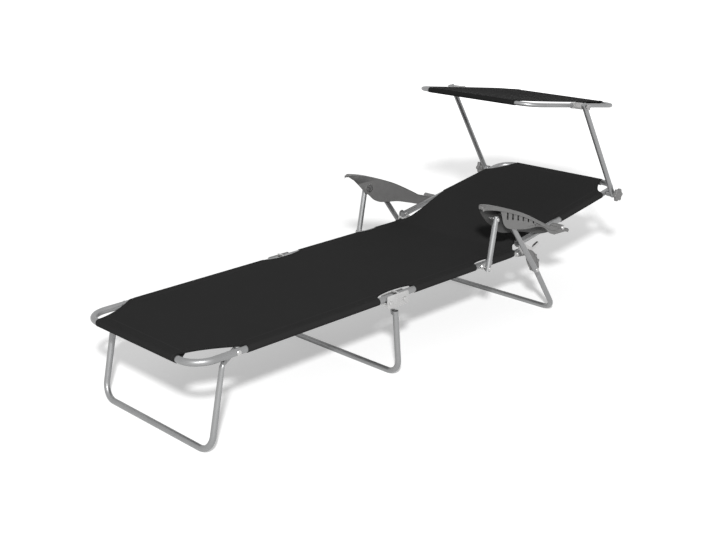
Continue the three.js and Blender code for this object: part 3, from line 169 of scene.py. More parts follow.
def pick_only(piece):
    pick_nothing()
    piece.select_set(True)
    bpy.context.view_layer.objects.active = piece


def apply_modifier(piece, kind, **settings):
    pick_only(piece)
    modifier = piece.modifiers.new("Finish", kind)
    for name, value in settings.items():
        setattr(modifier, name, value)
    bpy.ops.object.modifier_apply(modifier=modifier.name)


def round_edges(piece, width, segments=2, angle=40):
    settle(piece)
    apply_modifier(
        piece,
        "BEVEL",
        width=width * MM,
        segments=segments,
        limit_method="ANGLE",
        angle_limit=math.radians(angle),
    )


def settle(piece):
    pick_only(piece)
    bpy.ops.object.transform_apply(location=True, rotation=True, scale=True)


def together(pieces):
    pick_nothing()
    for piece in pieces:
        piece.select_set(True)
    bpy.context.view_layer.objects.active = pieces[0]
    bpy.ops.object.join()
    return active()


def fused(pieces):
    """One solid from pieces that overlap."""
    first = pieces[0]
    settle(first)
    for other in pieces[1:]:
        settle(other)
        apply_modifier(first, "BOOLEAN", operation="UNION", solver="EXACT", object=other)
        bpy.data.objects.remove(other, do_unlink=True)
    return first


def turn_faces_out(piece):
    pick_only(piece)
    bpy.ops.object.mode_set(mode="EDIT")
    bpy.ops.mesh.select_all(action="SELECT")
    bpy.ops.mesh.normals_make_consistent(inside=False)
    bpy.ops.object.mode_set(mode="OBJECT")


def hand_over(piece, name, kind, body, node):
    """Names a finished piece, gives it its look and sets it on its body."""
    look, slot = kind
    settle(piece)
    turn_faces_out(piece)
    piece.name = name
    piece.data.name = name
    piece.data.materials.clear()
    piece.data.materials.append(look)
    bpy.ops.object.shade_smooth_by_angle(angle=math.radians(SMOOTH_UNDER))
    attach(piece, body)
    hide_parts(node)


# Tubes are curves with a round section, made mesh


def bend(before, corner, after, radius):
    into = (corner - before).normalized()
    out = (after - corner).normalized()
    turn = into.angle(out)
    axis = into.cross(out).normalized()
    start = corner - into * radius * MM * math.tan(turn / 2)
    centre = start + axis.cross(into) * radius * MM
    steps = max(3, math.ceil(turn / math.radians(5)))
    spoke = start - centre
    return [
        centre + Matrix.Rotation(turn * step / steps, 3, axis) @ spoke
        for step in range(steps + 1)
    ]


def bent_line(corners, radii):
    line = [corners[0]]
    for index, radius in enumerate(radii):
        line += bend(corners[index], corners[index + 1], corners[index + 2], radius)
    return line + [corners[-1]]


def curve_mesh(lines, closed, **settings):
    curve = bpy.data.curves.new("outline", "CURVE")
    for name, value in settings.items():
        setattr(curve, name, value)
    for line in lines:
        spline = curve.splines.new("POLY")
        spline.points.add(len(line) - 1)
        for point, place in zip(spline.points, line):
            point.co = (*place, 1)
        spline.use_cyclic_u = closed
    piece = bpy.data.objects.new("outline", curve)
    bpy.context.scene.collection.objects.link(piece)
    pick_only(piece)
    bpy.ops.object.convert(target="MESH")
    return active()


def tube(points, radius, closed=False, rim=1.2):
    section = {"dimensions": "3D", "bevel_depth": radius * MM, "bevel_resolution": 12}
    piece = curve_mesh([points], closed, use_fill_caps=not closed, **section)
    if not closed:
        round_edges(piece, rim, 3, 60)
    return piece


def strut_tube(start, end, past, y):
    """A straight tube through two pivots that goes as far past each."""
    low, high = Vector(start), Vector(end)
    beyond = (high - low).normalized() * past
    ends = [spot(place.x, y, place.y) for place in (low - beyond, high + beyond)]
    return tube(ends, STRUT_RADIUS, rim=2.2)


# Turned pieces grow from a disc by extrusion; sections are (distance from the middle plane, radius)


def turned(centre, sections, sign, sides=40):
    y, radius = sections[0]
    pick_nothing()
    bpy.ops.mesh.primitive_circle_add(
        vertices=sides,
        radius=radius * MM,
        fill_type="NGON",
        location=spot(centre[0], sign * y, centre[1]),
        rotation=(math.pi / 2, 0, 0),
    )
    piece = active()
    bpy.ops.object.mode_set(mode="EDIT")
    bpy.ops.mesh.select_all(action="SELECT")
    for next_y, next_radius in sections[1:]:
        step = (0, sign * (next_y - y) * MM, 0)
        bpy.ops.mesh.extrude_region_move(TRANSFORM_OT_translate={"value": step})
        if next_radius != radius:
            ratio = next_radius / radius
            bpy.ops.transform.resize(
                value=(ratio, 1, ratio),
                center_override=spot(centre[0], sign * next_y, centre[1]),
            )
        y, radius = next_y, next_radius
    bpy.ops.object.mode_set(mode="OBJECT")
    return piece


def dome(y, height, radius):
    """Sections of a rounded head from y, as high as height, which may be below nought."""
    angles = [math.radians(degrees) for degrees in (0, 24, 46, 64, 80)]
    return [(y + height * math.sin(angle), radius * math.cos(angle)) for angle in angles]


def rivet(centre, inner, outer, sign, outer_height=3):
    low = list(reversed(dome(inner, -3, HEAD_RADIUS)))
    shank = [(inner, SHANK_RADIUS), (outer, SHANK_RADIUS)]
    return turned(centre, low + shank + dome(outer, outer_height, HEAD_RADIUS), sign)


def one_headed(centre, head_to, end, sign):
    low = list(reversed(dome(head_to, -3, HEAD_RADIUS)))
    shank = [(head_to, SHANK_RADIUS), (end - 0.6, SHANK_RADIUS), (end, 3.2)]
    return turned(centre, low + shank, sign)


# Flat plates: the hull of discs, or an outline cut from sheet with softened edges


def hull_plate(discs, inner, outer, sign):
    depth = (outer - inner) * MM
    pick_nothing()
    for index, (x, z, radius) in enumerate(discs):
        bpy.ops.mesh.primitive_cylinder_add(
            vertices=48,
            radius=radius * MM,
            depth=depth,
            location=spot(x, sign * (inner + outer) / 2, z),
            rotation=(math.pi / 2, 0, 0),
        )
        if index == 0:
            piece = active()
            bpy.ops.object.mode_set(mode="EDIT")
    bpy.ops.mesh.select_all(action="SELECT")
    bpy.ops.mesh.convex_hull(join_triangles=True)
    bpy.ops.mesh.select_all(action="SELECT")
    bpy.ops.mesh.dissolve_limited(angle_limit=math.radians(1))
    bpy.ops.object.mode_set(mode="OBJECT")
    return piece


def cut_plate(outlines, inner, outer, sign, edge=0.6):
    """A plate whose first outline is its rim and whose other outlines are its openings."""
    piece = curve_mesh(
        [[(x * MM - MIDDLE, z * MM, 0) for x, z in outline] for outline in outlines],
        True,
        dimensions="2D",
        fill_mode="BOTH",
        extrude=(outer - inner) / 2 * MM - edge * MM,
        bevel_depth=edge * MM,
        bevel_resolution=2,
        offset=-edge * MM,
    )
    piece.rotation_euler = (math.pi / 2, 0, 0)
    piece.location = (0, sign * (inner + outer) / 2 * MM, 0)
    settle(piece)
    return piece


def ring(centre, radius_at, count):
    """Places round a centre in the side view; radius_at gives (across, up) radii at an angle."""
    places = []
    for step in range(count):
        angle = math.tau * step / count
        across, up = radius_at(angle)
        places.append((centre[0] + across * math.cos(angle), centre[1] + up * math.sin(angle)))
    return places


def block(low_x, high_x, low_z, high_z, inner, outer, sign):
    rim = [(low_x, low_z), (high_x, low_z), (high_x, high_z), (low_x, high_z)]
    return cut_plate([rim], inner, outer, sign, 0.4)


# Smooth outline through points: a centripetal spline


def smooth_line(points, between):
    ends = [
        tuple(2 * a - b for a, b in zip(points[0], points[1])),
        tuple(2 * a - b for a, b in zip(points[-1], points[-2])),
    ]
    padded = [Vector(ends[0])] + [Vector(point) for point in points] + [Vector(ends[1])]
    line = []
    for index in range(1, len(padded) - 2):
        p0, p1, p2, p3 = padded[index - 1 : index + 3]
        k1, k2, k3 = (max((b - a).length ** 0.5, 1e-6) for a, b in ((p0, p1), (p1, p2), (p2, p3)))
        way1 = (p1 - p0) / k1 - (p2 - p0) / (k1 + k2) + (p2 - p1) / k2
        way2 = (p2 - p1) / k2 - (p3 - p1) / (k2 + k3) + (p3 - p2) / k3
        for step in range(between):
            t = step / between
            line.append(
                p1 * (2 * t**3 - 3 * t**2 + 1)
                + way1 * k2 * (t**3 - 2 * t**2 + t)
                + p2 * (3 * t**2 - 2 * t**3)
                + way2 * k2 * (t**3 - t**2)
            )
    line.append(padded[-2])
    return [tuple(point) for point in line]


# Looks


class Value:
    """One output of a node; sums with it add Math nodes."""

    def __init__(self, net, socket):
        self.net = net
        self.socket = socket

    def output(self, name):
        return Value(self.net, self.socket.node.outputs[name])

    def maths(self, operation, *values):
        inputs = dict(enumerate(values))
        return self.net.node("ShaderNodeMath", {"operation": operation}, inputs)

    def pair(operation, swap=False):
        def made(self, other):
            return self.maths(operation, *((other, self) if swap else (self, other)))

        return made

    __add__ = __radd__ = pair("ADD")
    __sub__, __rsub__ = pair("SUBTRACT"), pair("SUBTRACT", swap=True)
    __mul__, __truediv__ = pair("MULTIPLY"), pair("DIVIDE")
    larger = pair("MAXIMUM")

    def __abs__(self):
        return self.maths("ABSOLUTE", self)

    def sine(self):
        return self.maths("SINE", self)

    def below(self, edge, soft):
        """One where the value is under edge, nought past edge + soft."""
        drop = (edge + soft - self) / soft
        return self.net.node("ShaderNodeClamp", {}, {0: drop, 1: 0.0, 2: 1.0})


class Net:
    """The node tree of a material, a world or a lamp."""

    def __init__(self, owner):
        owner.use_nodes = True
        self.nodes = owner.node_tree.nodes
        self.links = owner.node_tree.links

    def node(self, kind, settings, inputs, output=0):
        made = self.nodes.new(kind)
        for name, value in settings.items():
            setattr(made, name, value)
        for name, value in inputs.items():
            if isinstance(value, Value):
                self.links.new(value.socket, made.inputs[name])
            else:
                made.inputs[name].default_value = value
        return Value(self, made.outputs[output])

    def feed(self, name, socket, value):
        self.links.new(value.socket, self.nodes[name].inputs[socket])


class Look(Net):
    """One material, built on its own surface shader."""

    def __init__(self, name, **constants):
        self.material = bpy.data.materials.new(name)
        super().__init__(self.material)
        for key, value in constants.items():
            socket = key.replace("_", " ").title().replace("Ior", "IOR")
            self.nodes["Principled BSDF"].inputs[socket].default_value = value

    def place(self):
        return self.node("ShaderNodeTexCoord", {}, {}, "Object")

    def grain(self, where, scale, detail=3.0, rough=0.5):
        inputs = {"Vector": where, "Scale": scale, "Detail": detail, "Roughness": rough}
        return self.node("ShaderNodeTexNoise", {}, inputs, "Fac")

    def stretched(self, where, scale):
        return self.node("ShaderNodeMapping", {}, {"Vector": where, "Scale": scale})

    def blended(self, share, first, second):
        """Mixes two colours, which are the Mix node's inputs 6 and 7 and its output 2."""
        inputs = {0: share, 6: first, 7: second}
        return self.node("ShaderNodeMix", {"data_type": "RGBA"}, inputs, 2)

    def cells(self, where, scale, feature):
        inputs = {"Vector": where, "Scale": scale}
        return self.node("ShaderNodeTexVoronoi", {"feature": feature}, inputs, "Distance")

    def marked(self, label):
        """What the mesh says at each point, under the given name."""
        return self.node("ShaderNodeAttribute", {"attribute_name": label}, {}, "Fac")

    def surface(self, socket, value):
        self.feed("Principled BSDF", socket, value)

    def relief(self, height, strength, distance):
        inputs = {"Height": height, "Strength": strength, "Distance": distance}
        self.surface("Normal", self.node("ShaderNodeBump", {}, inputs))


def grey(level, warm=0.0):
    return (level * (1 + warm), level, level * (1 - warm), 1.0)


def satin_tube_look():
    """Drawn tube with a satin skin: fine lines, small dull spots and a little wear."""
    look = Look("satin tube", metallic=0.82)
    where = look.place()
    fine = look.grain(where, 900.0, 2.0)
    broad = look.grain(where, 14.0, 4.0, 0.6)
    spots = look.grain(where, 160.0, 4.0, 0.7)
    tone = look.blended(broad, grey(0.25, -0.008), grey(0.32, -0.008))
    worn = look.blended((spots - 0.62) * 2.2, grey(0.0), grey(0.18))
    colour = look.node("ShaderNodeVectorMath", {"operation": "SUBTRACT"}, {0: tone, 1: worn})
    look.surface("Base Color", colour)
    look.surface("Roughness", 0.36 + broad * 0.1 + fine * 0.06)
    look.relief(fine + spots * 0.6, 0.06, 0.0004)
    return look.material


def stamped_steel_look():
    """Bright zinc-plated steel with a faint crystal bloom and broad patches of tone."""
    look = Look("zinc plated steel", metallic=0.95)
    where = look.place()
    bloom = look.cells(where, 260.0, "F1")
    fine = look.grain(where, 1200.0, 2.0)
    broad = look.grain(where, 40.0, 3.0)
    look.surface("Base Color", look.blended(broad, grey(0.416, 0.008), grey(0.544, 0.004)))
    look.surface("Roughness", 0.2 + bloom * 0.14 + fine * 0.06)
    look.relief(fine + bloom * 0.5, 0.05, 0.0003)
    return look.material


def grained_plastic_look(name, dark, light, rough, painted_channel_shade=False):
    """Moulded plastic with spark-eroded grain and cloudy pigment, with painted shade inside a
    channel.
    """
    look = Look(name)
    where = look.place()
    pits = look.cells(where, 1500.0, "SMOOTH_F1")
    cloud = look.grain(where, 45.0, 4.0, 0.55)
    rubbed = look.grain(where, 9.0, 5.0, 0.65)
    colour = look.blended(cloud, grey(dark, 0.01), grey(light, 0.01))
    if painted_channel_shade:
        # Painted shade: what faces into the channel is darkened to a third, standing in for the
        # channel's shadow.
        colour = look.blended(look.marked("painted_channel_shade"), colour, grey(dark * 0.3, 0.01))
    look.surface("Base Color", colour)
    look.surface("Roughness", rough + rubbed * 0.16 - pits * 0.1)
    look.relief(pits, 0.22, 0.0004)
    return look.material


def cloth_look(name, dark, light, shine):
    """Plain-woven cloth on its own map: threads, slubs, dashed seams and darker hems."""
    look = Look(name, specular_ior_level=shine)
    chart = look.node("ShaderNodeUVMap", {"uv_map": "Cloth"}, {})
    along = look.node("ShaderNodeSeparateXYZ", {}, {"Vector": chart}, "Y")
    across = along.output("X")
    weave, stitch = math.tau / 0.0013, math.tau / 0.0042
    threads = (along * weave).sine() * (across * weave).sine()
    slub = look.grain(look.stretched(chart, (30.0, 900.0, 1.0)), 1.0, 2.0)
    slub_up = look.grain(look.stretched(chart, (900.0, 30.0, 1.0)), 1.0, 2.0)
    cloud = look.grain(chart, 6.0, 3.0)
    side_seam, bar_seam = abs(look.marked("side seam")), abs(look.marked("bar seam"))
    run_along = (along * stitch).sine().below(0.45, 0.3)
    run_across = (across * stitch).sine().below(0.45, 0.3)
    side_thread = side_seam.below(0.0005, 0.0005) * run_along
    thread = side_thread + bar_seam.below(0.0005, 0.0005) * run_across
    groove = side_seam.below(0.0004, 0.0022) + bar_seam.below(0.0004, 0.0022)
    base = look.blended(cloud * 0.5 + slub * 0.25 + slub_up * 0.25, grey(dark), grey(light))
    hemmed = look.blended(look.marked("hem") * 0.35, base, grey(dark * 0.5))
    look.surface("Base Color", look.blended(thread * 0.55, hemmed, grey(light * 2.2)))
    look.surface("Roughness", 0.78 + threads * 0.06)
    height = threads * 0.1 + (slub + slub_up) * 0.12 + thread * 0.9 - groove * 0.8
    look.relief(height, 0.3, 0.0006)
    return look.material


# Looks with the slots that they fill
SATIN_TUBE = (satin_tube_look(), "alloy")
STEEL = (stamped_steel_look(), "steel")
# The armrest's plastic carries painted shade inside its channel.
ARM_PLASTIC = (grained_plastic_look("grained grey plastic", 0.12, 0.15, 0.46, True), "plastic")
DARK_PLASTIC = (grained_plastic_look("grey knob plastic", 0.13, 0.16, 0.42), "plastic")
CLIP_PLASTIC = (grained_plastic_look("light grey clip plastic", 0.27, 0.32, 0.38), "plastic")
BED_CLOTH = cloth_look("charcoal bed cloth", 0.02, 0.024, 0.02)
CANOPY_CLOTH = cloth_look("charcoal canopy cloth", 0.0125, 0.015, 0.02)


# Places of the backrest and the canopy


def lean_between(low, high):
    return math.atan2(high[1] - low[1], high[0] - low[0])


def leaning(pivot, angle):
    """A way to name places along a part that leans at an angle, and above it."""
    cos, sin = math.cos(angle), math.sin(angle)

    def place(along, up=0.0):
        return (pivot[0] + along * cos - up * sin, pivot[1] + along * sin + up * cos)

    return place


back_place = leaning(BACK_PIVOT, BACK_ANGLE)
canopy_place = leaning(CANOPY_PIVOT, CANOPY_ANGLE)


# Bed frame, backrest frame and legs


def rail_lug(pivot, sign):
    """The flattened end of a rail tube, down to its pivot."""
    discs = [(pivot[0], pivot[1], 8.5), (pivot[0], RAIL_Z, 8.5)]
    lug = hull_plate(discs, RAIL_Y - 7, RAIL_Y + 7, sign)
    round_edges(lug, 0.8)
    return lug


def foot_frame():
    corners = frame_corners((716.6, RAIL_Z), (0, RAIL_Z), RAIL_Y)
    hoop = tube(bent_line(corners, [65, 65]), RAIL_RADIUS)
    lugs = [rail_lug(FOOT_PIVOT, sign) for _, sign in SIDES]
    whole = together([hoop, *lugs])
    hand_over(whole, "foot_hoop", SATIN_TUBE, "foot", "foot_frame_tube")


def seat_rails():
    for side, sign in SIDES:
        y, node = sign * RAIL_Y, f"seat_rail_{side}"
        rail = tube([spot(742.4, y, RAIL_Z), spot(1318, y, RAIL_Z)], RAIL_RADIUS)
        whole = together([rail, rail_lug(SEAT_PIVOT, sign)])
        hand_over(whole, f"seat_side_tube_{side}", SATIN_TUBE, "seat", node)


def back_frame():
    corners = frame_corners(back_place(-9.6), back_place(BACK_LENGTH), RAIL_Y)
    hoop = tube(bent_line(corners, [60, 60]), RAIL_RADIUS)
    hand_over(hoop, "back_hoop", SATIN_TUBE, "back", "back_frame_tube")


def leg_line(side_points, radii):
    near = [spot(x, -LEG_Y, z) for x, z in side_points]
    far = [spot(x, LEG_Y, z) for x, z in reversed(side_points)]
    return bent_line(near + far, radii)


def press_flat(piece, from_x, to_x, middle_y, half_thick):
    """Presses the tube's ends flat between two places, as a swaged end is."""
    for vertex in piece.data.vertices:
        x = (vertex.co.x + MIDDLE) / MM
        share = share_of(x, from_x, to_x)
        sign = 1 if vertex.co.y > 0 else -1
        offset = abs(vertex.co.y) / MM - LEG_Y
        flat = middle_y + offset * half_thick / STRUT_RADIUS
        y = (1 - share) * (LEG_Y + offset) + share * flat
        vertex.co.y = sign * y * MM


def foot_leg():
    side_points = [(109, 250), (91.5, 242), (38.5, FLOOR_BAR_Z)]
    leg = tube(leg_line(side_points, [14, LEG_BEND, LEG_BEND, 14]), STRUT_RADIUS)
    press_flat(leg, 90, 104, 245.35, 2.6)
    tabs = []
    for _, sign in SIDES:
        discs = [(101, 246.5, 9.3), (*FOOT_LEG_PIVOT, 9.3)]
        tab = hull_plate(discs, 243.2, 247.5, sign)
        round_edges(tab, 0.9, 3)
        tabs.append(tab)
    whole = together([leg, *tabs])
    hand_over(whole, "foot_leg_hoop", SATIN_TUBE, "foot_leg", "foot_leg_tube")


def mid_leg_place(drop):
    fall = MID_PIVOT[1] - FLOOR_BAR_Z
    return (MID_PIVOT[0] + 15.5 * drop / fall, MID_PIVOT[1] - drop)


def mid_leg():
    line = leg_line([mid_leg_place(12), (751, FLOOR_BAR_Z)], [LEG_BEND] * 2)
    parts = [tube(line, STRUT_RADIUS, rim=2)]
    neck = mid_leg_place(19)
    for _, sign in SIDES:
        tab = hull_plate([(*neck, 8.5), (*MID_PIVOT, 8.5)], 240.1, 244.4, sign)
        round_edges(tab, 0.9, 3)
        parts += [tab, turned(neck, [(240.6, 6), (250, 6)], sign)]
    hand_over(together(parts), "mid_leg_hoop", SATIN_TUBE, "mid_leg", "mid_leg_tube")


REAR_LEG_FOOT = (1534, FLOOR_BAR_Z)
rear_leg_place = leaning(REAR_LEG_PIVOT, lean_between(REAR_LEG_PIVOT, REAR_LEG_FOOT))


def rear_leg():
    line = leg_line([rear_leg_place(-7), REAR_LEG_FOOT], [LEG_BEND] * 2)
    leg = tube(line, STRUT_RADIUS, rim=2.2)
    hand_over(leg, "rear_leg_hoop", SATIN_TUBE, "rear_leg", "rear_leg_tube")


def oval_plates():
    """An oval with a raised rim on each side of the rear leg, and two bushes through it."""
    middle, long, short, rim = 32.2, 50, 22.5, 4
    inner, rim_out, web_out = 272.3, 280.6, 279.3

    def oval(a, b):
        return [rear_leg_place(*at) for at in ring((middle, -16.6), lambda angle: (a, b), 96)]

    outline, inside = oval(long, short), oval(long - rim, short - rim)
    for side, sign in SIDES:
        parts = [
            cut_plate([outline, inside], inner, rim_out, sign, 1.4),
            cut_plate([inside], inner, web_out, sign, 0.5),
        ]
        for share in (-0.144, 0.356):
            bush = [(inner - 10, 6), (rim_out, 6), *dome(rim_out, 1.5, 5.6)]
            parts.append(turned(rear_leg_place(middle + share * long, 3), bush, sign))
        piece, node = together(parts), f"oval_plate_{side}"
        hand_over(piece, f"oval_cheek_{side}", DARK_PLASTIC, "rear_leg", node)


# Rear hinge plate and folding bracket


def hinge_plates():
    start, rail_end = (1288, RAIL_Z), (1308.5, RAIL_Z)
    arm_end = (1405, 281.5)
    lever = [(1386, 274, 4.2), (*arm_end, 4)]
    for side, sign in SIDES:
        links = [
            [(*start, 9.5), (*rail_end, 12)],
            [(*rail_end, 12), (*BACK_PIVOT, 12)],
            [(*rail_end, 12), (*REAR_LEG_PIVOT, 12)],
            [(*BACK_PIVOT, 9.5), (*REAR_LEG_PIVOT, 9.5)],
            [(*REAR_LEG_PIVOT, 7), (*arm_end, 4)],
        ]
        sheets = [hull_plate(discs, *PLATE, sign) for discs in links]
        plate = fused([*sheets, hull_plate(lever, PLATE[0] - 5, PLATE[1], sign)])
        round_edges(plate, 0.45, 2, 50)
        hand_over(plate, f"rear_hinge_{side}", STEEL, "seat", f"hinge_plate_{side}")


def mid_brackets():
    web_z, top_z = 279.3, 282.1
    for side, sign in SIDES:
        cheek = [
            (*FOOT_PIVOT, 16),
            (*SEAT_PIVOT, 16),
            (FOOT_PIVOT[0] - 8, web_z - 8, 8),
            (SEAT_PIVOT[0] + 8, web_z - 8, 8),
        ]
        lobe = [(*MID_PIVOT, 9), (MID_PIVOT[0], FOOT_PIVOT[1], 9)]
        parts = [
            hull_plate(cheek, *PLATE, sign),
            hull_plate(cheek, *INNER_CHEEK, sign),
            hull_plate(lobe, *INNER_CHEEK, sign),
        ]
        bars = [
            (MID_X - 3.7, MID_X + 3.7, web_z - 4, top_z),
            (684, 690, 255.9, 258.7),
            (769, 775, 255.9, 258.7),
        ]
        parts += [block(*bar, 245, 271, sign) for bar in bars]
        for part in parts[:2]:
            round_edges(part, 0.5, 2, 50)
        parts.append(turned((MID_X, 262), [(270.5, 3.4), *dome(271.2, 1.5, 3.4)], sign))
        parts.append(block(MID_X - 0.7, MID_X + 0.7, 268, 279, 271, 271.75, sign))
        whole, node = together(parts), f"mid_bracket_{side}"
        hand_over(whole, f"fold_bracket_{side}", STEEL, "mid_hinge", node)


# Pins, rivets and bolts


def fasteners():
    washered = [(268.8, 14), (270, 14), (271.3, 13), (271.3, SHANK_RADIUS)]
    washered += [(274.9, SHANK_RADIUS), (274.9, HEAD_RADIUS), (281.7, HEAD_RADIUS)]
    washered += [(281.7, SHANK_RADIUS), (STRUT_OUT, SHANK_RADIUS), *dome(STRUT_OUT, 3, HEAD_RADIUS)]
    for side, sign in SIDES:
        made = [
            ("bracket_pin_foot", "mid_hinge", rivet(FOOT_PIVOT, 244.4, RIVET_OUT, sign)),
            ("bracket_pin_seat", "mid_hinge", rivet(SEAT_PIVOT, 244.4, RIVET_OUT, sign)),
            ("mid_leg_pin", "mid_hinge", one_headed(MID_PIVOT, 239.8, 247.9, sign)),
            ("rear_leg_pin", "seat", one_headed(REAR_LEG_PIVOT, 243.7, 271.9, sign)),
            ("hinge_rivet", "seat", rivet(HINGE_RIVET, RIVET_IN, RIVET_OUT, sign)),
            ("back_bolt", "seat", rivet(BACK_PIVOT, RIVET_IN, RIVET_OUT, sign)),
            ("strut_pin", "seat", rivet(STRUT_PIVOT, RIVET_IN, STRUT_OUT, sign)),
            ("armrest_bolt", "back", rivet(ARM_PIVOT, RIVET_IN, 311.3, sign)),
            ("prop_pin", "rear_leg", rivet(PROP_PIVOT, 272.0, 299.8, sign)),
            ("foot_leg_pin", "foot", rivet(FOOT_LEG_PIVOT, 242.9, 268.3, sign, 2.2)),
            ("prop_stop_pin", f"prop_{side}", turned(PROP_TOP, [(276.6, 3.5), (306, 3.5)], sign)),
            ("strut_top_bolt", f"strut_{side}", turned(STRUT_TOP, washered, sign)),
        ]
        for kind, body, piece in made:
            name = kind.replace("pin", "stud").replace("bolt", "screw")
            hand_over(piece, f"{name}_{side}_turned", STEEL, body, f"{kind}_{side}")
        sections = [(268.6, 10), (271.4, 10), (272.3, 9.3), (272.3, 8), (281.7, 8)]
        bracket = turned(STRUT_PIVOT, sections, sign)
        hand_over(bracket, f"strut_seat_{side}", STEEL, "seat", f"strut_bracket_{side}")


# Struts, props and posts


def struts():
    for side, sign in SIDES:
        alike = [
            ("strut", "front_strut", STRUT_PIVOT, STRUT_TOP, 9, STRUT_Y),
            ("prop", "prop", PROP_PIVOT, PROP_TOP, 8, PROP_Y),
        ]
        for kind, node, low, high, past, y in alike:
            piece, body = strut_tube(low, high, past, sign * y), f"{kind}_{side}"
            hand_over(piece, f"arm_{body}", SATIN_TUBE, body, f"{node}_{side}")
        post = strut_tube(POST_PIVOT, CANOPY_PIVOT, 10, sign * POST_Y)
        collar = turned(POST_PIVOT, [(268.3, 10.2), (269.2, 11), (POST_Y - 4, 11)], sign)
        piece, node = together([post, collar]), f"canopy_post_{side}"
        hand_over(piece, f"shade_post_{side}", SATIN_TUBE, "canopy_posts", node)


# Armrest: a channel moulding, open below, with ribs that the prop's pin stops against

ARM_LENGTH = 453
ARM_HEIGHT = 170
ARM_FRONT = ARM_PIVOT[0] + 35 - ARM_LENGTH
ARM_BASE = ARM_PIVOT[1] - 15.8
ARM_IN = 271.6
ARM_OUT = 311
TEETH = 7
TOOTH_PITCH = 27
ARM_TOP_SHARES = [
    (0, 0.976), (0.013, 1), (0.097, 0.966), (0.219, 0.874), (0.351, 0.75), (0.488, 0.599),
    (0.671, 0.349), (0.759, 0.224), (0.883, 0.118), (0.993, 0.035), (1, 0.012),
]
ARM_LEAF_SHARES = [
    (0.993, 0), (0.969, -0.006), (0.764, 0.018), (0.645, 0.106), (0.505, 0.212), (0.393, 0.259),
    (0.302, 0.306), (0.236, 0.394), (0.19, 0.505), (0.148, 0.585), (0.095, 0.73), (0.045, 0.875),
]
ARM_OUTER_SHARES = [
    (0.826, 0.006), (0.764, 0.071), (0.704, 0.206), (0.638, 0.276), (0.464, 0.324),
    (0.265, 0.459), (0.23, 0.541), (0.199, 0.765),
]


def arm_line(shares, between):
    places = [(ARM_FRONT + u * ARM_LENGTH, ARM_BASE + v * ARM_HEIGHT) for u, v in shares]
    return smooth_line(places, between)


ARM_TOP_LINE = arm_line(ARM_TOP_SHARES, 8)


def arm_top(x):
    for (x0, z0), (x1, z1) in zip(ARM_TOP_LINE, ARM_TOP_LINE[1:]):
        if x0 <= x <= x1 and x1 > x0:
            return z0 + (z1 - z0) * (x - x0) / (x1 - x0)
    return ARM_TOP_LINE[-1][1]


def top_between(low, high):
    inside = [(x, z) for x, z in ARM_TOP_LINE if low < x < high]
    return [(low, arm_top(low)), *inside, (high, arm_top(high))]


def under_top(depth, start=0.0, inset=0.0):
    low, high = ARM_FRONT + inset, ARM_FRONT + ARM_LENGTH - inset
    top = [(x, z - start) for x, z in ARM_TOP_LINE if low < x < high]
    return top + [(x, z - depth) for x, z in reversed(top)]


def armrest_parts(sign):
    slot = [
        (STRUT_TOP[0] + x + math.copysign(3.8, x), STRUT_TOP[1] + z)
        for x, z in ring((0, 0), lambda angle: (5.6, 5.6), 24)
    ]
    leaf = arm_line(ARM_LEAF_SHARES, 6) + ARM_TOP_LINE
    outer = arm_line(ARM_OUTER_SHARES, 6)
    outer_from, outer_to = outer[-1][0], outer[0][0]
    outer_rim = list(reversed(outer)) + list(reversed(top_between(outer_from, outer_to)))
    windows, ribs = [], []
    for tooth in range(TEETH):
        x = ARM_FRONT + 0.234 * ARM_LENGTH + TOOTH_PITCH * tooth
        low, high = arm_top(x) - 25, arm_top(x + 9) - 2
        rib = [(x, low), (x + 3, low), (x + 12, high), (x + 9, high)]
        ribs.append(cut_plate([rib], ARM_IN + 1.9, ARM_OUT - 1.8, sign, 0.5))
        if tooth < TEETH - 1:
            drop = 36 - 3.2 * tooth
            window = [(at, arm_top(at) - drop) for at in (x + 10, x + 20)]
            windows.append(window + [(at, arm_top(at) - 7) for at in (x + 23, x + 13)])
    rear_x = [ARM_FRONT + share * ARM_LENGTH for share in (0.817, 0.969, 0.99)]
    rear = [(x, ARM_BASE + rise) for x, rise in zip(rear_x, (1.6, -1, 0.2))]
    rear += list(reversed(top_between(rear_x[0], rear_x[2])))
    boss = [(268.4, 8.6), (269, 9.2), (ARM_OUT - 0.6, 9.2), (ARM_OUT, 8.6)]
    parts = [
        cut_plate([leaf, slot], ARM_IN, ARM_IN + 3, sign, 0.7),
        cut_plate([under_top(5)], ARM_IN, ARM_OUT, sign, 1.9),
        cut_plate([under_top(12, 1.0, 2.0)], ARM_OUT - 3.1, ARM_OUT - 0.1, sign, 0.8),
        cut_plate([outer_rim, *windows], ARM_OUT - 3.2, ARM_OUT - 0.4, sign, 0.6),
        cut_plate([rear], ARM_OUT - 3, ARM_OUT, sign, 0.6),
        turned(ARM_PIVOT, boss, sign),
        *ribs,
    ]
    for part in parts:
        round_nose(part)
    # The leaf's outer face and the ribs are marked for the painted shade inside the channel.
    for part in (parts[0], *parts[-len(ribs):]):
        mark_painted_channel_shade(part)
    return parts


def mark_painted_channel_shade(piece):
    """Marks what faces into the armrest's channel, where shade is painted into the plastic's
    colour.
    """
    marks = piece.data.attributes.new("painted_channel_shade", "FLOAT", "POINT")
    for vertex, mark in zip(piece.data.vertices, marks.data):
        mark.value = float(abs(vertex.co.y) > (ARM_IN + 1.6) * MM)


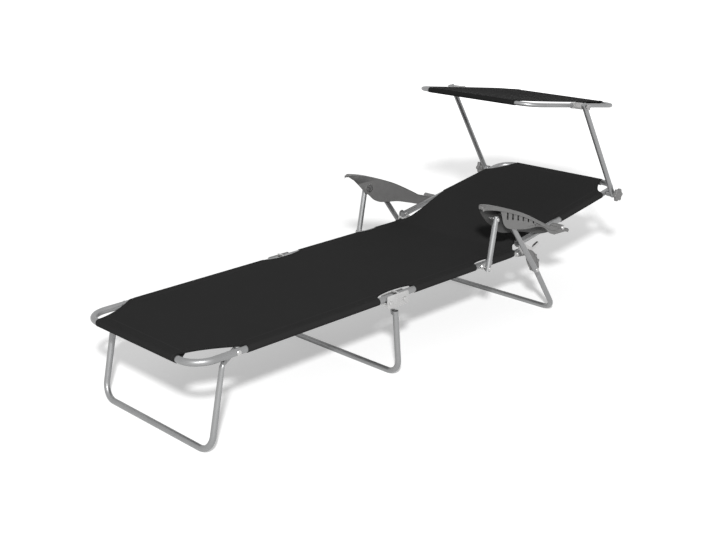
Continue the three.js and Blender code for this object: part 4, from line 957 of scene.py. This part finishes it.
def round_nose(piece, inner=52, outer=14):
    """Slopes the armrest's top band outward and rounds its front, most at the inner corner."""
    settle(piece)
    for vertex in piece.data.vertices:
        x = (vertex.co.x + MIDDLE) / MM
        y = abs(vertex.co.y) / MM
        if y > ARM_OUT - 3.5 and ARM_FRONT + 1 < x < ARM_FRONT + 0.9 * ARM_LENGTH:
            deep = arm_top(x) - vertex.co.z / MM
            y -= 0.5 * min(max(12 - deep, 0), 12)
            vertex.co.y = math.copysign(y * MM, vertex.co.y)
        middle = (ARM_IN + ARM_OUT) / 2
        radius = inner if y < middle else outer
        past = min((ARM_FRONT + radius - x) / radius, 1)
        if past <= 0:
            continue
        pull = radius * 0.5 * (1 - math.sqrt(1 - past**2))
        y = min(y + pull, middle) if y < middle else max(y - pull, middle)
        vertex.co.y = math.copysign(y * MM, vertex.co.y)


def armrests():
    for side, sign in SIDES:
        whole, node = together(armrest_parts(sign)), f"armrest_{side}"
        hand_over(whole, f"arm_moulding_{side}", ARM_PLASTIC, node, node)


# Star knobs and canopy clips


def star_knob(centre, stud_in, sign, share):
    outline = ring(centre, lambda angle: [share * (21 + 2.5 * math.cos(6 * angle))] * 2, 120)
    hub_in = POST_Y + STRUT_RADIUS + 0.3
    star_in = hub_in + share * 7
    star_out = star_in + share * 12
    cap = 11 * share
    hub = [(hub_in, 11 * share), (hub_in + 1, 12 * share), (star_in + 0.5, 12 * share)]
    button = [(star_out - 1, cap), (star_out + 0.3, cap)]
    button += dome(star_out + 0.4, 2.1 * share, cap * 0.94)
    return [
        turned(centre, [(stud_in, 3.5), (hub_in + 0.5, 3.5)], sign, 20),
        turned(centre, hub, sign),
        cut_plate([outline], star_in, star_out, sign, 2.2 * share),
        turned(centre, button, sign),
    ]


def knobs():
    kinds = [
        ("post", POST_PIVOT, 250, 1.0, DARK_PLASTIC),
        ("tilt", CANOPY_PIVOT, 272.6, 0.46, CLIP_PLASTIC),
    ]
    for side, sign in SIDES:
        for kind, pivot, stud_in, share, look in kinds:
            piece, node = together(star_knob(pivot, stud_in, sign, share)), f"{kind}_knob_{side}"
            hand_over(piece, f"{kind}_star_{side}", look, node, node)


def canopy_frame():
    corners = frame_corners(canopy_place(CANOPY_FRONT), canopy_place(CANOPY_REAR), CANOPY_Y)
    line = []
    for index, corner in enumerate(corners):
        line += bend(corners[index - 1], corner, corners[(index + 1) % 4], 60)
    loop = tube(line, CANOPY_RADIUS, closed=True)
    hand_over(loop, "shade_loop", SATIN_TUBE, "canopy", "canopy_frame_tube")


def canopy_clips():
    for side, sign in SIDES:
        low, high = canopy_place(-18), canopy_place(18)
        y = sign * CANOPY_Y
        sleeve = tube([spot(low[0], y, low[1]), spot(high[0], y, high[1])], 10.5, rim=1.6)
        boss = turned(CANOPY_PIVOT, [(CANOPY_Y, 10.5), (278.4, 10.5), (279.6, 9.4)], sign)
        clip, node = together([sleeve, boss]), f"canopy_clip_{side}"
        hand_over(clip, f"shade_clip_{side}", CLIP_PLASTIC, "canopy", node)


# Cloth: each sheet is a grid over stations along its side view, wrapped and sewn round its tubes


@dataclass
class Station:
    place: tuple
    up: tuple
    half: float
    length: float
    sleeve: bool
    flap: bool
    bar: float = 0.0


def side_wrap(radius, steps=14):
    """Cloth from a tube's top, round it and sewn under itself: places outward and down."""
    reach = radius + CLOTH_GAP + CLOTH_THICK / 2
    angles = [math.radians(225) * step / steps for step in range(1, steps + 1)]
    line = [(reach * math.sin(angle), reach - reach * math.cos(angle)) for angle in angles]
    tail = [(-SEAM_IN - past, 1.7) for past in (0, 5, 11)]
    return [*line, (-16, reach), *tail]


RAIL_WRAP = side_wrap(RAIL_RADIUS)


def bar_wrap(radius, bar, outward, up):
    """The same round a bar, as places in the side view."""
    reach = radius + CLOTH_GAP + CLOTH_THICK / 2
    line = [(out, reach - down) for out, down in side_wrap(radius, 18)]
    return [
        (bar[0] + a * outward[0] + b * up[0], bar[1] + a * outward[1] + b * up[1])
        for a, b in line
    ]


def stations_of(web, bars, half_of, in_sleeve):
    """web is (key, place, up) along the cloth; bars are those it is sewn round at its ends."""
    line = [(place, up, half_of(key), in_sleeve(key), False) for key, place, up in web]
    wraps = [
        [(place, bar[3], bar[4], False, True) for place in bar_wrap(*bar[:4])] if bar else []
        for bar in bars
    ]
    line = wraps[0][::-1] + line + wraps[1]
    stations, length = [], 0.0
    for index, (place, up, half, sleeve, flap) in enumerate(line):
        if index:
            before = line[index - 1][0]
            length += math.hypot(place[0] - before[0], place[1] - before[1])
        stations.append(Station(place, up, half, length, sleeve, flap))
    in_web = [station for station in stations if not station.flap]
    shift = web[0][0] - in_web[0].length
    for station in stations:
        station.length += shift
    ends = [(in_web[0].length, 1), (in_web[-1].length, -1)]
    sewn = [end for bar, end in zip(bars, ends) if bar]
    for station in stations:
        gaps = [way * (station.length - length) - SEAM_IN for length, way in sewn]
        station.bar = min(gaps, key=abs, default=FAR)
    return stations


def columns(half):
    """Places across a web: close at both hems and even between them."""
    hem = [0, 1.2, 6.5, HEM_WIDE - 1, HEM_WIDE + 0.4, 19, SEAM_IN, 31]
    inner = half - 38
    middle = [-inner + 2 * inner * step / 36 for step in range(37)]
    near = [-half + distance for distance in hem]
    return near + middle + [-y for y in reversed(near)]


def sheet_mesh(name, stations, sag_at):
    """The sheet with its map and its distances to seams, its flat size and its flat area."""
    points, chart, seams, bars, hems, faces = [], [], [], [], [], []
    web_rows, wrap_rows = [], []
    area = 0.0
    widest = max(station.half for station in stations)

    def add(station, y, down, across, seam, hem):
        x = station.place[0] - down * station.up[0]
        z = station.place[1] - down * station.up[1]
        points.append(spot(x, y, z))
        chart.append((across * MM, station.length * MM))
        seams.append(seam * MM)
        bars.append(station.bar * MM)
        hems.append(hem)
        return len(points) - 1

    for index, station in enumerate(stations):
        row = []
        for y in columns(station.half):
            inward = station.half - abs(y)
            hemmed = not station.sleeve and not station.flap and inward < HEM_WIDE
            down = -0.7 if hemmed and 1 < inward < HEM_WIDE - 0.5 else 0.0
            if not station.flap:
                free = max(1 - (abs(y) / (station.half - 42)) ** 2, 0) ** 1.4
                wave = noise.noise(Vector((station.place[0] / 170, y / 110, 3.7)))
                down += free * (sag_at(station) + 1.1 * wave * min(1, sag_at(station)))
            seam = inward - (SEAM_IN if station.sleeve else HEM_WIDE - 3)
            row.append(add(station, y, down, y, seam, float(hemmed)))
        web_rows.append(row)
        sides = None
        if station.sleeve:
            sides = []
            for sign, edge in ((-1, row[0]), (1, row[-1])):
                strip, across, before = [edge], station.half, (0.0, 0.0)
                for outward, down in RAIL_WRAP:
                    across += math.hypot(outward - before[0], down - before[1])
                    before = (outward, down)
                    y = sign * (station.half + outward)
                    strip.append(add(station, y, down, sign * across, FAR, 0.0))
                sides.append(strip)
        wrap_rows.append(sides)
        if index:
            step = station.length - stations[index - 1].length
            area += step * (station.half + stations[index - 1].half)
            below = web_rows[index - 1]
            faces += zip(below, row, row[1:], below[1:])
            if sides and wrap_rows[index - 1]:
                area += 2 * step * (across - station.half)
                widest = max(widest, across)
                left0, right0 = wrap_rows[index - 1]
                left1, right1 = sides
                faces += zip(left0, left0[1:], left1[1:], left1)
                faces += zip(right0, right1, right1[1:], right0[1:])
    mesh = bpy.data.meshes.new(name)
    mesh.from_pydata(points, [], faces)
    layer = mesh.uv_layers.new(name="Cloth")
    for loop in mesh.loops:
        layer.data[loop.index].uv = chart[loop.vertex_index]
    for label, values in (("side seam", seams), ("bar seam", bars), ("hem", hems)):
        mesh.attributes.new(label, "FLOAT", "POINT").data.foreach_set("value", values)
    piece = bpy.data.objects.new(name, mesh)
    bpy.context.scene.collection.objects.link(piece)
    flat = (2 * widest * MM, (stations[-1].length - stations[0].length) * MM)
    return piece, flat, area * MM * MM


def sew(name, node, look, stations, sag_at):
    piece, flat, area = sheet_mesh(name, stations, sag_at)
    piece.data.materials.append(look)
    thickness = CLOTH_THICK * MM
    apply_modifier(piece, "SOLIDIFY", thickness=thickness, offset=0.0, use_even_offset=True)
    bpy.ops.object.shade_smooth_by_angle(angle=math.radians(CLOTH_SMOOTH_UNDER))
    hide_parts(node)
    return piece


def eased(values, step):
    """Places from the first key to the last, close together where a curve starts or ends."""
    places = [values[0]]
    for start, end in zip(values, values[1:]):
        steps = max(2, math.ceil((end - start) / step))
        for index in range(1, steps + 1):
            share = (1 - math.cos(math.pi * index / steps)) / 2
            places.append(start + (end - start) * (0.65 * share + 0.35 * index / steps))
    return places


def scallop(x, start, end, depth):
    share = (x - start) / (end - start)
    if share <= 0 or share >= 1:
        return 0.0
    return depth * math.sqrt(math.sin(math.pi * share))


# Where the cloth is cut away at brackets and struts, and how deep
MID_FROM, MID_TO, MID_BITE = 657.5, 811.0, 19
REAR_FROM, REAR_TO, REAR_BITE = 1291.0, 1349.0, 22
STRUT_GAP, STRUT_BITE = (1090, 1170), 9

# Where sleeves and tapers start and end, and half the cloth's width at the three bars
FOOT_TAPER = 150
FOOT_SLEEVE_START = 167
BED_SPLIT = 1000.0
SEAT_SLEEVE_END = 1284.0
BACK_SLEEVE = (224.0, 468.0)
FOOT_BAR_HALF, HEAD_BAR_HALF, CANOPY_BAR_HALF = 185, 192, 186
BED_STEP = 12
BACK_KEY = 2000


def seat_half(x):
    bite = scallop(x, MID_FROM, MID_TO, MID_BITE) + scallop(x, REAR_FROM, REAR_TO, REAR_BITE)
    return RAIL_Y - bite - scallop(x, *STRUT_GAP, STRUT_BITE)


def foot_sling():
    keys = eased([0, FOOT_TAPER, FOOT_SLEEVE_START, MID_FROM, MID_X], BED_STEP)
    web = [(x, (x, CLOTH_Z), LEVEL) for x in keys]

    def half_of(x):
        taper = 1 - (1 - share_of(x, FOOT_TAPER, 0)) ** 1.6
        return RAIL_Y - (RAIL_Y - FOOT_BAR_HALF) * taper - scallop(x, MID_FROM, MID_TO, MID_BITE)

    def in_sleeve(x):
        return FOOT_SLEEVE_START - 0.1 <= x <= MID_FROM + 0.1

    bars = ((RAIL_RADIUS, (0, RAIL_Z), (-1, 0), LEVEL, FOOT_BAR_HALF), None)
    stations = stations_of(web, bars, half_of, in_sleeve)

    def sag_at(station):
        x = station.place[0]
        return 6 * share_of(x, 30, 190) * share_of(x, 700, 540)

    piece = sew("foot_sling", "foot_cloth", BED_CLOTH, stations, sag_at)
    start, end = in_middle(MID_FROM, CLOTH_Z), in_middle(MID_X, CLOTH_Z)
    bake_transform(piece)


def knee_sling():
    keys = eased([MID_X, MID_TO, BED_SPLIT], BED_STEP)
    web = [(x, (x, CLOTH_Z), LEVEL) for x in keys]
    stations = stations_of(web, (None, None), seat_half, lambda x: x >= MID_TO - 0.1)

    def sag_at(station):
        return 7 * share_of(station.place[0], 770, 970)

    piece = sew("knee_sling", "seat_cloth", BED_CLOTH, stations, sag_at)
    start, end = in_middle(MID_X, CLOTH_Z), in_middle(MID_TO - 14, CLOTH_Z)
    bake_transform(piece)


def back_sling():
    seat_keys = eased([BED_SPLIT, *STRUT_GAP, SEAT_SLEEVE_END, 1306], BED_STEP)
    back_keys = eased([0, *BACK_SLEEVE, BACK_LENGTH], BED_STEP)
    knots = [(x, CLOTH_Z) for x in (960, *range(1000, 1251, 50))]
    rises = ((1276, 0.9), (1310, 8.3), (1360, 20.8), (1410, 33.6), (1470, 49.2))
    knots += [(x, CLOTH_Z + rise) for x, rise in rises]
    on_back = (222, 270, 320, 380, 440, 500, BACK_LENGTH, BACK_LENGTH + 40)
    knots += [back_place(along, WEB_RISE) for along in on_back]
    side = smooth_line(knots, 24)

    def on_side(x):
        for low, high in zip(side, side[1:]):
            if low[0] <= x <= high[0]:
                slope = lean_between(low, high)
                z = low[1] + (high[1] - low[1]) * (x - low[0]) / (high[0] - low[0])
                return (x, z), (-math.sin(slope), math.cos(slope))
        raise ValueError(f"no cloth at {x}")

    web = [(x, *on_side(x)) for x in seat_keys]
    for along in back_keys:
        x = back_place(along, WEB_RISE if along > 120 else 2.0)[0]
        if x > web[-1][1][0] + 2:
            web.append((BACK_KEY + along, *on_side(x)))

    def half_of(key):
        if key < BACK_KEY:
            return seat_half(key)
        along = key - BACK_KEY
        lower = share_of(along, BACK_SLEEVE[0], -5.3)
        upper = share_of(along, BACK_SLEEVE[1], BACK_LENGTH)
        waist = REAR_BITE * math.sin(math.pi / 2 * lower) ** 1.4
        return RAIL_Y - waist - (RAIL_Y - HEAD_BAR_HALF) * upper**0.6

    def in_sleeve(key):
        if key < BACK_KEY:
            return key <= STRUT_GAP[0] + 0.1 or STRUT_GAP[1] - 0.1 <= key <= SEAT_SLEEVE_END + 0.1
        return BACK_SLEEVE[0] - 0.1 <= key - BACK_KEY <= BACK_SLEEVE[1] + 0.1

    cos, sin = math.cos(BACK_ANGLE), math.sin(BACK_ANGLE)
    head = back_place(BACK_LENGTH)
    bars = (None, (RAIL_RADIUS, head, (cos, sin), (-sin, cos), HEAD_BAR_HALF))
    stations = stations_of(web, bars, half_of, in_sleeve)

    def sag_at(station):
        x = station.place[0]
        at_hinge = share_of(abs(x - 1313), 160, 0)
        return 7 * share_of(x, 1860, 1660) * (1 - 0.5 * at_hinge)

    piece = sew("back_sling", "back_cloth", BED_CLOTH, stations, sag_at)
    start, end = in_middle(SEAT_SLEEVE_END, CLOTH_Z), in_middle(*back_place(150, WEB_RISE))
    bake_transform(piece)


def shade_sheet():
    cos, sin = math.cos(CANOPY_ANGLE), math.sin(CANOPY_ANGLE)
    reach = CANOPY_RADIUS + CLOTH_GAP + CLOTH_THICK / 2
    up = (-sin, cos)
    keys = eased([CANOPY_FRONT, 0, CANOPY_REAR], 10)
    web = [(along, canopy_place(along, reach), up) for along in keys]

    def half_of(along):
        share = share_of(along, CANOPY_FRONT, CANOPY_REAR)
        return CANOPY_BAR_HALF + 30 * math.sqrt(max(math.sin(math.pi * share), 0))

    front, rear = canopy_place(CANOPY_FRONT), canopy_place(CANOPY_REAR)
    bars = (
        (CANOPY_RADIUS, front, (-cos, -sin), up, CANOPY_BAR_HALF),
        (CANOPY_RADIUS, rear, (cos, sin), up, CANOPY_BAR_HALF),
    )
    stations = stations_of(web, bars, half_of, lambda along: False)

    def sag_at(station):
        along = (station.place[0] - CANOPY_PIVOT[0]) / cos
        return 6 * math.sin(math.pi * share_of(along, CANOPY_FRONT, CANOPY_REAR))

    piece = sew("shade_sheet", "canopy_cloth", CANOPY_CLOTH, stations, sag_at)
    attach(piece, "canopy")


# Build

foot_frame()
seat_rails()
back_frame()
foot_leg()
mid_leg()
rear_leg()
oval_plates()
hinge_plates()
mid_brackets()
fasteners()
struts()
armrests()
knobs()
canopy_frame()
canopy_clips()
foot_sling()
knee_sling()
back_sling()
shade_sheet()


# Studio: a wide pale floor, one soft lamp above the camera and even light all round


def floor_look():
    """A matt floor that glows where it is seen, the more the further out, to meet the white sky."""
    look = Look(
        "pale studio floor", base_color=(0.8, 0.8, 0.8, 1), roughness=0.9, specular_ior_level=0.0
    )
    camera_ray = look.node("ShaderNodeLightPath", {}, {}, "Is Camera Ray")
    seen = camera_ray.larger(camera_ray.output("Is Glossy Ray"))
    length = {"operation": "LENGTH"}
    reach = look.node("ShaderNodeVectorMath", length, {0: look.place()}, "Value")
    rise = look.node("ShaderNodeValToRGB", {}, {"Fac": reach / 10})
    steps = rise.socket.node.color_ramp.elements
    steps.new(0.3)
    for step, (position, level) in zip(steps, ((0.13, 0.4), (0.3, 0.63), (0.5, 1))):
        step.position = position
        step.color = grey(level)
    glow = look.node("ShaderNodeEmission", {}, {"Strength": seen * rise})
    matt = look.nodes["Principled BSDF"].outputs[0]
    both = look.node("ShaderNodeAddShader", {}, {0: Value(look, matt), 1: glow})
    look.feed("Material Output", "Surface", both)
    return look.material


def studio():
    pick_nothing()
    bpy.ops.mesh.primitive_grid_add(x_subdivisions=4, y_subdivisions=4, size=120)
    floor = active()
    floor.name = "studio_floor"
    floor.data.materials.append(floor_look())

    world = bpy.data.worlds.new("even studio light")
    bpy.context.scene.world = world
    sky = Net(world)
    sky.nodes["Background"].inputs["Color"].default_value = grey(1)
    camera_ray = sky.node("ShaderNodeLightPath", {}, {}, "Is Camera Ray")
    bounced = camera_ray.output("Is Glossy Ray").larger(camera_ray.output("Is Transmission Ray"))
    sky.feed("Background", "Strength", camera_ray.larger(bounced) * 0.7 + 0.3)

    lamp = bpy.data.lights.new("soft key", "POINT")
    lamp.energy = 46
    lamp.shadow_soft_size = 0.14
    rays = Net(lamp)
    even = rays.node("ShaderNodeLightFalloff", {}, {"Strength": 1}, "Constant")
    rays.feed("Emission", "Strength", even)
    key = bpy.data.objects.new("soft key", lamp)
    key.location = (-2.8, -2.8, 2.42)
    bpy.context.scene.collection.objects.link(key)


def camera():
    """The photograph's viewpoint: azimuth from the y axis, elevation and a little roll."""
    azimuth, elevation, roll = math.radians(44.14), math.radians(18.68), math.radians(-0.72)
    turn = Matrix.Rotation(-azimuth, 4, "Z") @ Matrix.Rotation(math.pi / 2 - elevation, 4, "X")
    lens = bpy.data.cameras.new("photograph view")
    lens.sensor_width = 36
    lens.lens = 56.67
    lens.clip_end = 200
    viewer = bpy.data.objects.new("photograph view", lens)
    where = Matrix.Translation((-2.462, -2.424, 1.406))
    viewer.matrix_world = where @ turn @ Matrix.Rotation(roll, 4, "Z")
    bpy.context.scene.collection.objects.link(viewer)
    bpy.context.scene.camera = viewer


studio()
camera()
bpy.context.scene.view_settings.view_transform = "Standard"
